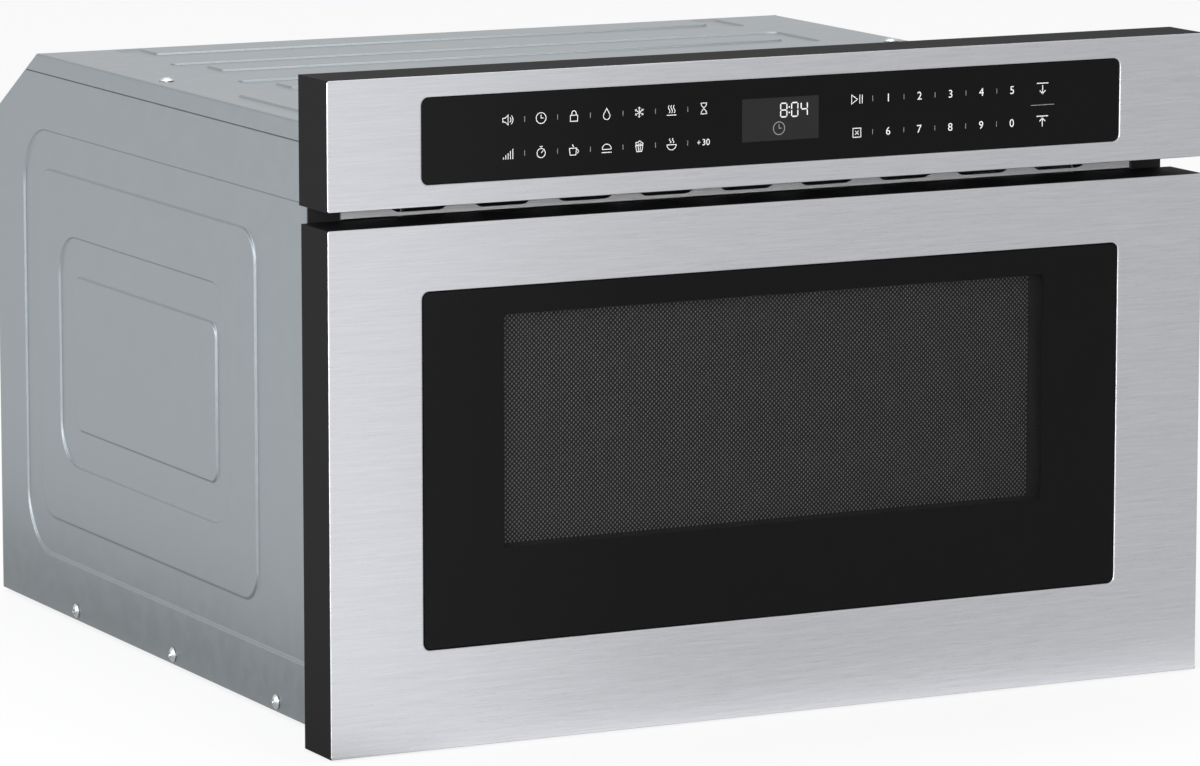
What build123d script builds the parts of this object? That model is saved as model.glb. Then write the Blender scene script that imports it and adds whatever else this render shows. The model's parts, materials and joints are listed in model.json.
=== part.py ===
"""Built-in microwave drawer: a cabinet with its fixed cavity, and a motor-driven drawer that carries the bin.

Millimetres, +X to the viewer's right, +Y to the back, +Z up. The origin is at the middle of the footprint,
on the surface that the base pads stand on. Everything is at rest with the drawer closed.
"""
from build123d import *
import os
from math import acos, cos, hypot, pi, radians, sin, sqrt, tan

# ================================================================ driving dimensions
# overall
overall_width = 606.4  # across the two front frames
overall_height = 408.4  # drawer frame's bottom edge to control frame's top edge
overall_depth = 597.5  # steel front to the heads of the rear screws
floor_clearance = 1.0  # the drawer front above the surface that the pads stand on

# fronts
control_height = 78.4
control_depth = 41.0
front_gap = 10.7  # open slit between the two fronts, where the cooling air leaves
drawer_front_depth = 38.1
frame_wall = 2.5  # side walls of the moulded frames
frame_face = 5.7  # their face behind the steel
skin_sheet = 0.8
skin_inset = 1.2  # rim of the moulding that shows round a steel skin
skin_seat = 0.2  # clearance between a skin and that rim
rim_setback = 0.3  # the rim behind the steel
skin_corner = 1.5
glass_side_margin = 61.9  # glass edges from the frames' outer edges
control_glass_margin = 13.3
window_bottom_margin = 61.3
window_top_margin = 40.6
glass_corner = 4.5
glass_sheet = 3.5
glass_recess = 0.5  # glass behind the steel
glass_gap = 0.3  # between glass and steel edge
glass_ledge = 8.0  # moulding behind the glass edge

# cabinet sheet metal
front_overhang = 25.4  # fronts beyond the body, each side
top_step = 35.3  # body top below the control frame's top edge
sheet = 1.0
base_height = 2.5  # underside of the base pan above the surface
chamfer_depth = 74.6  # sloped rear top corner along Y
chamfer_drop = 44.0  # and along Z
stamp_depth = 1.2  # stamped recesses in the sides and the top
cover_flange = 12.0  # top cover turned down over the sides
joggle_lap = 11.0  # inset edge of a side panel behind that flange
base_flange = 13.5  # base pan turned up inside the sides
flange_sheet = 1.5
flange_overhang = 19.7  # front flange beyond the body, each side
flange_low_margin = 6.0  # front flange above the drawer frame's bottom edge
flange_high_margin = 8.4  # and below the control frame's top edge
flange_post = 21.0
flange_sill = 8.0
flange_head = 58.0  # bar behind the control frame
flange_hole_radius = 2.6
flange_hole_inset = 10.0
flange_hole_low = 24.0  # hole centres above the flange's bottom edge
flange_hole_pitch = 270.0  # and between the lower and upper holes
pad_radius = 14.0
pad_inset = 42.0

# vent strip above the drawer
vent_slots = 9
vent_pitch = 55.8
vent_slot_length = 41.5
vent_slot_height = 16.0
vent_slot_low = 2.0  # slot above the strip's bottom edge
vent_strip_height = 26.0

# cavity
cavity_side_gap = 36.8  # outside of the wrap to outside of the body, each side
cavity_floor_height = 71.0  # underside of the floor above the drawer frame's bottom edge
roof_space = 81.1  # underside of the ceiling to the body's top
cavity_front_depth = 41.6
rear_space = 103.0  # bulkhead to rear panel, where the power parts stand
cavity_border = 17.5  # cavity face beyond the wrap
ceiling_lap = 6.0
leg_width = 30.0
leg_inset = 6.0  # from the outside of the wrap

# drawer
bin_sheet = 1.0
bin_side_gap = 9.2
bin_floor_gap = 10.0
bin_roof_gap = 30.0
bin_rear_gap = 18.0
bin_rim = 4.0
bin_corner = 14.0
bin_floor_corner = 5.0
tray_sheet = 4.0
tray_gap = 5.0
screen_depth = 11.0  # perforated screen behind the steel front
screen_sheet = 1.0
inner_glass_sheet = 3.0
choke_width = 25.0
choke_sheet = 1.0
choke_cover_sheet = 2.3
choke_roof_gap = 9.0  # inside of the choke below the cavity ceiling
door_plate_sheet = 1.5
boss_radius = 4.5

# slides
slide_half = 23.0
slide_centre = 122.0  # above the drawer frame's bottom edge
slide_start = 48.0  # front ends behind the steel front
slide_end_gap = 13.0  # rear ends to the bulkhead
slide_sheet = 1.2
slide_inset = 4.2  # outer member to the outside of the body
slide_engaged = 50.0  # slide length less travel
slide_reach = 8.7  # middle member's outside to the inner member's face
ball_radius = 1.35
ball_play = 0.25
balls_per_row = 7
ball_pitch = 26.0
arm_sheet = 1.5
arm_half = 20.0
support_sheet = 1.5
outer_reach = 9.2  # depth of the outer member's section
middle_reach = 7.9
inner_reach = 6.5

# drive
gear_module = 1.5
pinion_teeth = 16
gear_width = 12.0
rack_body = 9.0  # rack's back to the root of its teeth
rack_inset = 61.0  # rack to the outside of the wrap
rack_top = 54.0  # above the drawer frame's bottom edge
pinion_depth = 75.0  # pinion axis behind the steel front
tooth_backlash = 0.40
pressure_angle = 20.0
motor_radius = 18.5
motor_length = 66.0
shaft_radius = 3.0
shaft_play = 0.05

# stirrer and feed
waveguide_half = 46.0
waveguide_height = 41.0
waveguide_sheet = 1.2
feed_radius = 30.0
stirrer_radius = 66.0
stirrer_cover_radius = 84.0
stirrer_cover_depth = 21.0

# boards and vents
board_sheet = 1.6
duct_sheet = 1.5
vent_hole_radius = 1.6

# fasteners
screw_radius = 1.95
screw_head_radius = 4.8
screw_head_height = 2.5
screw_length = 7.0
screw_play = 0.15
screw_rim = 0.6  # upright edge of the head
cross_length = 5.0
cross_width = 1.1
cross_depth = 1.3

# ================================================================ places that follow from them
half_width = overall_width / 2
front_y = -overall_depth / 2
rear_y = overall_depth / 2 - screw_head_height
front_bottom = floor_clearance
front_top = front_bottom + overall_height
control_bottom = front_top - control_height
drawer_top = control_bottom - front_gap

body_half = half_width - front_overhang
body_inside = body_half - sheet
body_top = front_top - top_step
flange_y = front_y + control_depth
body_front = flange_y + flange_sheet
seam_z = body_top - cover_flange
chamfer_length = hypot(chamfer_depth, chamfer_drop)
chamfer_low = body_top - chamfer_drop
chamfer_front = rear_y - chamfer_depth
flange_half = body_half + flange_overhang
flange_bottom = front_bottom + flange_low_margin
flange_top = front_top - flange_high_margin
opening_half = flange_half - flange_post

cavity_half = body_half - cavity_side_gap
cavity_bottom = front_bottom + cavity_floor_height
cavity_top = body_top - roof_space
cavity_front = front_y + cavity_front_depth
bulkhead_y = rear_y - rear_space
cavity_rear = bulkhead_y - sheet
drawer_back = front_y + drawer_front_depth
base_top = base_height + sheet

glass_half = half_width - glass_side_margin
window_low = front_bottom + window_bottom_margin
window_high = drawer_top - window_top_margin

bin_half = cavity_half - sheet - bin_side_gap
bin_low = cavity_bottom + sheet + bin_floor_gap
bin_high = cavity_top - bin_roof_gap
bin_rear = cavity_rear - bin_rear_gap
choke_half = bin_half + 0.2
choke_low = bin_low
choke_high = cavity_top - choke_roof_gap
screen_y = front_y + screen_depth
inner_glass_y = screen_y + screen_sheet
bin_front = inner_glass_y + inner_glass_sheet

slide_z = front_bottom + slide_centre
slide_front = front_y + slide_start
slide_rear = bulkhead_y - slide_end_gap
slide_outside = body_half - slide_inset
middle_half = slide_half - slide_sheet - 2 * (ball_radius + ball_play)
inner_half = middle_half - slide_sheet - 2 * (ball_radius + ball_play)
middle_outside = slide_outside - slide_sheet - 1.6
inner_face = middle_outside - slide_reach
travel = slide_rear - slide_front - slide_engaged

rack_x = cavity_half - rack_inset
pitch_radius = gear_module * pinion_teeth / 2
rack_root = front_bottom + rack_top - rack_body
rack_pitch_z = rack_root - 1.25 * gear_module
pinion_z = rack_pitch_z - pitch_radius
pinion_y = front_y + pinion_depth

stirrer_y = (cavity_front + bulkhead_y) / 2
ceiling_top = cavity_top + sheet
waveguide_top = ceiling_top + waveguide_height
power_y = (bulkhead_y + rear_y - sheet) / 2

os.makedirs("parts", exist_ok=True)


# ================================================================ helpers
def back(depth):
    """Y of a plane this far behind the steel front."""
    return front_y + depth


def facing(y):
    """Sketch plane across the object at this Y. Sketch X is X, sketch Y is Z, and extruding by -t goes back."""
    return Plane.XZ.offset(-y)


def upright(x):
    """Sketch plane along the object at this X. Sketch X is Y, and sketch Y is Z."""
    return Plane.YZ.offset(x)


def rect(u, v, radius=0.0, mode=Mode.ADD):
    """Rectangle between two limits along each sketch axis, with round corners where a radius is given."""
    with Locations(((u[0] + u[1]) / 2, (v[0] + v[1]) / 2)):
        if radius:
            RectangleRounded(u[1] - u[0], v[1] - v[0], radius, mode=mode)
        else:
            Rectangle(u[1] - u[0], v[1] - v[0], mode=mode)


def block(x, y, z, mode=Mode.ADD):
    """Box between two limits along each axis."""
    with Locations(((x[0] + x[1]) / 2, (y[0] + y[1]) / 2, (z[0] + z[1]) / 2)):
        Box(x[1] - x[0], y[1] - y[0], z[1] - z[0], mode=mode)


def both(half):
    """The two limits of something centred on the middle plane."""
    return (-half, half)


def on_side(side, near, far):
    """X limits, low first, of something between two distances from the middle plane on one side."""
    return (near, far) if side > 0 else (-far, -near)


def chamfer_y(z, inset):
    """Y of the sloped rear corner at a height, this far inside the outer surface."""
    return rear_y - (inset * chamfer_length + chamfer_depth * (z - chamfer_low)) / chamfer_drop


def chamfer_z(y, inset):
    """Height of the sloped rear corner at a Y, this far inside the outer surface."""
    return chamfer_low + (chamfer_drop * (rear_y - y) - inset * chamfer_length) / chamfer_depth


# round-headed cross-recess screw: the seat of its head is at the origin, and its shank goes down
with BuildPart() as screw:
    with BuildSketch(Plane.XZ):
        with BuildLine():
            Polyline(
                (0, -screw_length),
                (screw_radius - 0.7, -screw_length),
                (screw_radius, -screw_length + 1.2),
                (screw_radius, 0),
                (screw_head_radius, 0),
                (screw_head_radius, screw_rim),
            )
            RadiusArc((screw_head_radius, screw_rim), (0, screw_head_height), -(screw_head_radius + 2.6))
            Line((0, screw_head_height), (0, -screw_length))
        make_face()
    revolve(axis=Axis.Z)
    with BuildSketch(Plane.XY.offset(screw_head_height)):
        Rectangle(cross_length, cross_width)
        Rectangle(cross_width, cross_length)
    extrude(amount=-cross_depth, mode=Mode.SUBTRACT)

# ================================================================ cabinet
# side panels: a sheet with a stamped recess that is open to the front, a raised field in it, and a
# recessed ring in the field
field_front = back(166.2)
recess_rear = rear_y - 47.3
field_rear = recess_rear - 25.7
recess_low = front_bottom + 39.8
recess_high = body_top - 49.7
field_low = recess_low + 25.5
field_high = recess_high - 25.6
ring_front = field_front + 40.3
ring_rear = field_rear - 35.1
ring_low = field_low + 40.2
ring_high = field_high - 40.3
ring_width = 25.5
recess_corner = 40.0
field_corner = 20.0
ring_corner = 28.0
plate_corner = 9.0
side_screw_z = front_bottom + 7.6
side_screw_front = back(137.4)
side_screw_rear = rear_y - 131.8
side_screw_ys = (side_screw_front, (side_screw_front + side_screw_rear) / 2, side_screw_rear)
top_screw_y = back(332.7)
top_screw_x = body_half - 13.5


def stamped_outline(grow):
    """Recessed area of a side panel, with its edges moved outwards by a distance."""
    rect((body_front, recess_rear + grow), (recess_low - grow, recess_high + grow), recess_corner + grow)
    rect((body_front, recess_rear - 2 * recess_corner), (recess_low - grow, recess_high + grow))
    rect(
        (field_front + grow, field_rear - grow),
        (field_low + grow, field_high - grow),
        field_corner - grow,
        Mode.SUBTRACT,
    )
    rect((ring_front - grow, ring_rear + grow), (ring_low - grow, ring_high + grow), ring_corner + grow)
    rect(
        (ring_front + ring_width + grow, ring_rear - ring_width - grow),
        (ring_low + ring_width + grow, ring_high - ring_width - grow),
        plate_corner - grow,
        Mode.SUBTRACT,
    )


for side, hand in ((-1, "left"), (1, "right")):
    with BuildPart() as side_panel:
        with BuildSketch(upright(side * body_inside)):
            with BuildLine():
                Polyline(
                    (body_front, base_height),
                    (rear_y - sheet, base_height),
                    (rear_y - sheet, chamfer_z(rear_y - sheet, sheet)),
                    (chamfer_y(seam_z, sheet), seam_z),
                    (body_front, seam_z),
                    close=True,
                )
            make_face()
        extrude(amount=side * sheet)
        with BuildSketch(upright(side * (body_inside - stamp_depth))):
            stamped_outline(sheet)
        extrude(amount=side * (sheet + stamp_depth))
        with BuildSketch(upright(side * (body_half - stamp_depth))):
            stamped_outline(0)
        extrude(amount=side * stamp_depth, mode=Mode.SUBTRACT)
        block(
            on_side(side, body_inside - sheet, body_inside),
            (body_front, chamfer_y(body_top - sheet, sheet)),
            (seam_z - joggle_lap, body_top - sheet),
        )
        with BuildSketch(upright(side * body_half)):
            with Locations(*[(y, side_screw_z) for y in side_screw_ys]):
                Circle(screw_radius + screw_play)
        extrude(amount=-side * 2 * sheet, mode=Mode.SUBTRACT)
    side_panel.part.label = f"side_panel_{hand}"
    export_step(side_panel.part, f"parts/side_panel_{hand}.step")

# top cover: three stamped ring grooves across it, the last running off the rear edge, and a raised front field
groove_half = body_half - 52.8
groove_rear = (chamfer_front - 205.7, chamfer_front - 95.5, chamfer_front + 13.6)
groove_span = 69.5
groove_end = 3.0  # the last groove stops this far before the rear crease
island_half = groove_half - 18.5
island_front = 21.5  # island's front edge behind the groove's front edge
island_depth = 29.0
groove_corner = 7.0
island_corner = 5.0
raised_half = body_half - 19.5
raised_gap = 10.2  # raised field's rear edge before the first groove
raised_rear = groove_rear[0] - groove_span - raised_gap
raised_height = 1.2


def groove_outline(grow):
    """The ring grooves of the top cover, with their edges moved outwards by a distance."""
    for rear in groove_rear:
        front = rear - groove_span
        rect(both(groove_half + grow), (front - grow, rear + grow), groove_corner + grow)
        rect(
            both(island_half - grow),
            (front + island_front + grow, front + island_front + island_depth - grow),
            island_corner - grow,
            Mode.SUBTRACT,
        )
    rect(both(island_half - grow), (chamfer_front - 20.0, rear_y), mode=Mode.SUBTRACT)
    rect(both(body_half), (chamfer_front - groove_end + grow, rear_y), mode=Mode.SUBTRACT)


with BuildPart() as top_cover:
    block(both(body_half), (body_front, chamfer_front), (body_top - sheet, body_top))
    with BuildSketch(Plane.XY.offset(body_top - sheet - stamp_depth)):
        groove_outline(sheet)
    extrude(amount=sheet + stamp_depth)
    with BuildSketch(Plane.XY.offset(body_top - stamp_depth)):
        groove_outline(0)
    extrude(amount=stamp_depth, mode=Mode.SUBTRACT)
    with BuildSketch(Plane.XY.offset(body_top)):
        rect(both(raised_half), (body_front, raised_rear))
    extrude(amount=raised_height)
    with BuildSketch(Plane.XY.offset(body_top - sheet)):
        rect(both(raised_half - sheet), (body_front, raised_rear - sheet))
    extrude(amount=raised_height, mode=Mode.SUBTRACT)
    for side in (-1, 1):
        with BuildSketch(upright(side * body_inside)):
            with BuildLine():
                Polyline(
                    (body_front, seam_z),
                    (chamfer_y(seam_z, sheet), seam_z),
                    (chamfer_y(body_top - sheet, sheet), body_top - sheet),
                    (chamfer_front, body_top - sheet),
                    (chamfer_front, body_top),
                    (body_front, body_top),
                    close=True,
                )
            make_face()
        extrude(amount=side * sheet)
    with Locations(*[(side * top_screw_x, top_screw_y, body_top) for side in (-1, 1)]):
        Hole(screw_radius + screw_play)
top_cover.part.label = "top_cover"
export_step(top_cover.part, "parts/top_cover.step")

# rear panel: upright back and sloped corner in one sheet, with intake slots and the cord entry
intake_x = body_half - 147.8
intake_z = base_height + 196.0
gland_x = 47.8 - body_half
gland_z = base_height + 57.5
gland_radius = 9.0
intake_pitch = (46.0, 9.0)
intake_slot = (38.0, 4.0)
rear_screw_x = body_half - 40.0
rear_screw_z = base_height + 8.0
rear_screw_places = [(x, rear_screw_z) for x in (-rear_screw_x, 0.0, rear_screw_x)]

with BuildPart() as rear_panel:
    with BuildSketch(upright(-body_half)):
        with BuildLine():
            Polyline(
                (rear_y, base_height),
                (rear_y, chamfer_low),
                (chamfer_front, body_top),
                (chamfer_front, body_top - sheet),
                (chamfer_y(body_top - sheet, sheet), body_top - sheet),
                (rear_y - sheet, chamfer_z(rear_y - sheet, sheet)),
                (rear_y - sheet, base_height),
                close=True,
            )
        make_face()
    extrude(amount=2 * body_half)
    with BuildSketch(facing(rear_y)):
        with Locations((intake_x, intake_z)):
            with GridLocations(*intake_pitch, 3, 13):
                SlotOverall(*intake_slot)
        with Locations((gland_x, gland_z)):
            Circle(gland_radius)
        with Locations(*rear_screw_places):
            Circle(screw_radius + screw_play)
    extrude(amount=3 * sheet, mode=Mode.SUBTRACT)
rear_panel.part.label = "rear_panel"
export_step(rear_panel.part, "parts/rear_panel.step")

# base pan: turned up along the sides and the back, with four stamped pads
pad_places = [
    (side * (body_half - pad_inset), y)
    for side in (-1, 1)
    for y in (body_front + pad_inset, rear_y - pad_inset)
]

with BuildPart() as base_pan:
    block(both(body_inside), (body_front, rear_y - sheet), (base_height, base_top))
    for side in (-1, 1):
        block(
            on_side(side, body_inside - sheet, body_inside),
            (body_front, rear_y - sheet),
            (base_top, base_top + base_flange),
        )
    block(both(body_inside), (rear_y - 2 * sheet, rear_y - sheet), (base_top, base_top + base_flange))
    with BuildSketch():
        with Locations(*pad_places):
            Circle(pad_radius)
    extrude(amount=base_height)
    with BuildSketch(Plane.XY.offset(sheet)):
        with Locations(*pad_places):
            Circle(pad_radius - sheet)
    extrude(amount=base_height, mode=Mode.SUBTRACT)
    for side in (-1, 1):
        with BuildSketch(upright(side * body_inside)):
            with Locations(*[(y, side_screw_z) for y in side_screw_ys]):
                Circle(screw_radius + screw_play)
        extrude(amount=-side * 2 * sheet, mode=Mode.SUBTRACT)
    with BuildSketch(facing(rear_y - sheet)):
        with Locations(*rear_screw_places):
            Circle(screw_radius + screw_play)
    extrude(amount=2 * sheet, mode=Mode.SUBTRACT)
base_pan.part.label = "base_pan"
export_step(base_pan.part, "parts/base_pan.step")

# cabinet screws: sides, top and rear
with BuildPart() as cabinet_screws:
    with Locations(
        *[
            Plane(origin=(side * body_half, y, side_screw_z), z_dir=(side, 0, 0))
            for side in (-1, 1)
            for y in side_screw_ys
        ],
        *[Plane(origin=(side * top_screw_x, top_screw_y, body_top)) for side in (-1, 1)],
        *[Plane(origin=(x, rear_y, z), z_dir=(0, 1, 0)) for x, z in rear_screw_places],
    ):
        add(screw.part)
cabinet_screws.part.label = "cabinet_screws"
export_step(cabinet_screws.part, "parts/cabinet_screws.step")

# cord gland: a moulded bush through the rear panel
gland_bore = 4.5
gland_lip = 4.0
gland_nut = 3.0
gland_length = 18.0
with BuildPart() as cord_gland:
    with BuildSketch(facing(rear_y)):
        with Locations((gland_x, gland_z)):
            Circle(gland_radius - 0.1)
    extrude(amount=gland_length)
    with BuildSketch(facing(rear_y)):
        with Locations((gland_x, gland_z)):
            Circle(gland_radius + gland_lip)
    extrude(amount=-screw_head_height)
    with BuildSketch(facing(rear_y - sheet)):
        with Locations((gland_x, gland_z)):
            Circle(gland_radius + gland_lip)
    extrude(amount=gland_nut)
    with BuildSketch(facing(rear_y + screw_head_height)):
        with Locations((gland_x, gland_z)):
            Circle(gland_bore)
    extrude(amount=gland_length + screw_head_height, mode=Mode.SUBTRACT)
cord_gland.part.label = "cord_gland"
export_step(cord_gland.part, "parts/cord_gland.step")

# front flange: the frame that is screwed to the cupboard's front edge
flange_hole_x = flange_half - flange_hole_inset
flange_hole_zs = (flange_bottom + flange_hole_low, flange_bottom + flange_hole_low + flange_hole_pitch)
wiring_half = 60.0
wiring_low = body_top - 25.0  # wires pass below the top cover
wiring_high = body_top - 5.0

with BuildPart() as front_flange:
    with BuildSketch(facing(flange_y)):
        rect(both(flange_half), (flange_bottom, flange_top), 2.0)
        rect(
            both(opening_half),
            (flange_bottom + flange_sill, flange_top - flange_head),
            mode=Mode.SUBTRACT,
        )
        rect(both(wiring_half), (wiring_low, wiring_high), 4.0, Mode.SUBTRACT)
        with Locations(*[(side * flange_hole_x, z) for side in (-1, 1) for z in flange_hole_zs]):
            Circle(flange_hole_radius, mode=Mode.SUBTRACT)
    extrude(amount=-flange_sheet)
front_flange.part.label = "front_flange"
export_step(front_flange.part, "parts/front_flange.step")

# vent strip: hangs behind the flange's head, its slots over the slit between the fronts
strip_low = drawer_top + 0.4
with BuildPart() as vent_strip:
    with BuildSketch(facing(body_front)):
        rect(both(body_inside - stamp_depth - 0.4), (strip_low, strip_low + vent_strip_height))
        with Locations((0, strip_low + vent_slot_low + vent_slot_height / 2)):
            with GridLocations(vent_pitch, 1.0, vent_slots, 1):
                SlotOverall(vent_slot_length, vent_slot_height, mode=Mode.SUBTRACT)
    extrude(amount=-sheet)
vent_strip.part.label = "vent_strip"
export_step(vent_strip.part, "parts/vent_strip.step")

# ================================================================ control panel
glass_back = front_y + glass_recess + glass_sheet
face_back = front_y + skin_sheet + frame_face
control_glass_low = control_bottom + control_glass_margin
control_glass_high = front_top - control_glass_margin


def moulded_frame(low, high, depth, glass_low, glass_high):
    """Moulded front frame: open at the back, with a rim for the skin and a ledge for the glass."""
    rim = skin_inset - skin_seat
    seat = 0.2
    block(both(half_width), (front_y + rim_setback, front_y + depth), (low, high))
    block(
        both(half_width - rim),
        (front_y + rim_setback, front_y + skin_sheet),
        (low + rim, high - rim),
        Mode.SUBTRACT,
    )
    block(
        both(half_width - frame_wall),
        (face_back, front_y + depth),
        (low + frame_wall, high - frame_wall),
        Mode.SUBTRACT,
    )
    block(
        both(glass_half + seat),
        (front_y + skin_sheet, glass_back),
        (glass_low - seat, glass_high + seat),
        Mode.SUBTRACT,
    )
    block(
        both(glass_half - glass_ledge),
        (glass_back, face_back),
        (glass_low + glass_ledge, glass_high - glass_ledge),
        Mode.SUBTRACT,
    )


def steel_skin(low, high, glass_low, glass_high):
    """Outline of a brushed steel skin with its opening for the glass."""
    rect(both(half_width - skin_inset), (low + skin_inset, high - skin_inset), skin_corner)
    rect(
        both(glass_half + glass_gap),
        (glass_low - glass_gap, glass_high + glass_gap),
        glass_corner + glass_gap,
        Mode.SUBTRACT,
    )


with BuildPart() as control_frame:
    moulded_frame(control_bottom, front_top, control_depth, control_glass_low, control_glass_high)
control_frame.part.label = "control_frame"
export_step(control_frame.part, "parts/control_frame.step")

with BuildPart() as control_fascia:
    with BuildSketch(facing(front_y)):
        steel_skin(control_bottom, front_top, control_glass_low, control_glass_high)
    extrude(amount=-skin_sheet)
control_fascia.part.label = "control_fascia"
export_step(control_fascia.part, "parts/control_fascia.step")

with BuildPart() as control_glass:
    with BuildSketch(facing(front_y + glass_recess)):
        rect(both(glass_half), (control_glass_low, control_glass_high), glass_corner)
    extrude(amount=-glass_sheet)
control_glass.part.label = "control_glass"
export_step(control_glass.part, "parts/control_glass.step")

display_half = 30.0
display_low = control_glass_low + 12.5
display_high = control_glass_high - 11.0
display_depth = 9.0
display_back_inset = 6.0  # back of the module inside its front part
display_back_depth = 3.0
board_inset = glass_ledge + 1.0  # touch board inside the glass edge
board_low = control_glass_low + board_inset
board_high = control_glass_high - board_inset
chip = (14.0, 2.0, 10.0)
chip_xs = (-170.0, -95.0, 95.0, 170.0)
chip_z = (control_glass_low + control_glass_high) / 2
plug_x = (50.0, 75.0)
plug_height = 8.0
plug_rise = 4.0
plug_depth = 6.4

with BuildPart() as display_module:
    block(both(display_half), (glass_back, glass_back + display_depth), (display_low, display_high))
    block(
        both(display_half - display_back_inset),
        (glass_back + display_depth, glass_back + display_depth + display_back_depth),
        (display_low + display_back_inset - 1.0, display_high - display_back_inset + 1.0),
    )
display_module.part.label = "display_module"
export_step(display_module.part, "parts/display_module.step")

with BuildPart() as touch_board:
    with BuildSketch(facing(glass_back)):
        rect(both(glass_half - board_inset), (board_low, board_high))
        rect(both(display_half + 0.5), (display_low - 0.5, board_high), mode=Mode.SUBTRACT)
    extrude(amount=-board_sheet)
    with Locations(*[(x, glass_back + board_sheet + chip[1] / 2, chip_z) for x in chip_xs]):
        Box(*chip)
    block(
        plug_x,
        (glass_back + board_sheet, glass_back + board_sheet + plug_depth),
        (board_low + plug_rise, board_low + plug_rise + plug_height),
    )
touch_board.part.label = "touch_board"
export_step(touch_board.part, "parts/touch_board.step")

# ================================================================ cavity
lamp_y = bulkhead_y - 95.0
lamp_z = cavity_top - 42.0
lamp_hole_pitch = 5.0

with BuildPart() as cavity_wrap:
    block(both(cavity_half), (cavity_front + sheet, cavity_rear), (cavity_bottom, cavity_top))
    block(
        both(cavity_half - sheet),
        (cavity_front + sheet, cavity_rear),
        (cavity_bottom + sheet, cavity_top),
        Mode.SUBTRACT,
    )
    with BuildSketch(upright(cavity_half)):
        with Locations((lamp_y, lamp_z)):
            with GridLocations(lamp_hole_pitch, lamp_hole_pitch, 4, 4):
                Circle(vent_hole_radius)
    extrude(amount=-sheet, mode=Mode.SUBTRACT)
cavity_wrap.part.label = "cavity_wrap"
export_step(cavity_wrap.part, "parts/cavity_wrap.step")

rack_notch = gear_width / 2 + 6.0
rack_notch_high = front_bottom + rack_top + 5.0
face_low = flange_bottom + flange_sill + 0.5
with BuildPart() as cavity_face:
    with BuildSketch(facing(cavity_front)):
        rect(both(cavity_half + cavity_border), (face_low, cavity_top + cavity_border))
        rect(both(cavity_half - sheet), (cavity_bottom + sheet, cavity_top), mode=Mode.SUBTRACT)
        rect(
            (rack_x - rack_notch, rack_x + rack_notch),
            (face_low, rack_notch_high),
            mode=Mode.SUBTRACT,
        )
    extrude(amount=-sheet)
cavity_face.part.label = "cavity_face"
export_step(cavity_face.part, "parts/cavity_face.step")

roof_vent_y = cavity_front + 55.0
roof_vent_pitch = 6.0
with BuildPart() as cavity_ceiling:
    with BuildSketch(Plane.XY.offset(cavity_top)):
        rect(both(cavity_half + ceiling_lap), (cavity_front + sheet, cavity_rear))
        with Locations((0, stirrer_y)):
            Circle(feed_radius, mode=Mode.SUBTRACT)
        with Locations((0, roof_vent_y)):
            with GridLocations(roof_vent_pitch, roof_vent_pitch, 16, 4):
                Circle(vent_hole_radius, mode=Mode.SUBTRACT)
    extrude(amount=sheet)
cavity_ceiling.part.label = "cavity_ceiling"
export_step(cavity_ceiling.part, "parts/cavity_ceiling.step")

bulkhead_side_gap = 3.0
bulkhead_high = waveguide_top + 2.0
with BuildPart() as cavity_back:
    with BuildSketch(facing(cavity_rear)):
        rect(both(body_inside - bulkhead_side_gap), (base_top, bulkhead_high))
        rect(both(waveguide_half), (ceiling_top, bulkhead_high), mode=Mode.SUBTRACT)
    extrude(amount=-sheet)
cavity_back.part.label = "cavity_back"
export_step(cavity_back.part, "parts/cavity_back.step")

leg_end_inset = 25.0
legs_y = (cavity_front + leg_end_inset, cavity_rear - leg_end_inset)
with BuildPart() as cavity_legs:
    for side in (-1, 1):
        far = cavity_half - leg_inset
        near = far - leg_width
        block(on_side(side, near, far), legs_y, (base_top, cavity_bottom))
        block(
            on_side(side, near + support_sheet, far - support_sheet),
            legs_y,
            (base_top, cavity_bottom - support_sheet),
            Mode.SUBTRACT,
        )
cavity_legs.part.label = "cavity_legs"
export_step(cavity_legs.part, "parts/cavity_legs.step")

# lamp: socket over the perforated patch in the right wall, with its bulb inside
lamp_box = 32.0
lamp_wall = 2.0
lamp_depth = 20.0
bulb_radius = 8.0
bulb_reach = 12.0
cap_radius = 4.9
cap_length = 6.0
with BuildPart() as cavity_lamp:
    with BuildSketch(upright(cavity_half)):
        with Locations((lamp_y, lamp_z)):
            Rectangle(lamp_box, lamp_box)
            Rectangle(lamp_box - 2 * lamp_wall, lamp_box - 2 * lamp_wall, mode=Mode.SUBTRACT)
    extrude(amount=lamp_depth)
    with BuildSketch(upright(cavity_half + lamp_depth)):
        with Locations((lamp_y, lamp_z)):
            Rectangle(lamp_box, lamp_box)
            Circle(cap_radius + 0.1, mode=Mode.SUBTRACT)
    extrude(amount=lamp_wall)
    with BuildSketch(upright(cavity_half + lamp_depth + lamp_wall)):
        with Locations((lamp_y, lamp_z)):
            Circle(bulb_radius)
    extrude(amount=lamp_wall)
    with BuildSketch(upright(cavity_half + lamp_depth - lamp_wall)):
        with Locations((lamp_y, lamp_z)):
            Circle(cap_radius)
    extrude(amount=cap_length)
    with Locations((cavity_half + bulb_reach, lamp_y, lamp_z)):
        Sphere(bulb_radius)
cavity_lamp.part.label = "cavity_lamp"
export_step(cavity_lamp.part, "parts/cavity_lamp.step")

# exhaust duct over the ceiling's front vents, open towards the vent strip: a flat cover on three flat walls
duct_half = cavity_half - 6.0
duct_front = body_front + 2 * sheet
duct_gap = 49.2  # before the waveguide
duct_rear = stirrer_y - waveguide_half - duct_gap
duct_top = ceiling_top + 48.0
wall_gap = 0.1
with BuildPart() as exhaust_duct_cover:
    block(both(duct_half), (duct_front, duct_rear), (duct_top - duct_sheet, duct_top))
exhaust_duct_cover.part.label = "exhaust_duct_cover"
export_step(exhaust_duct_cover.part, "parts/exhaust_duct_cover.step")

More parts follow.
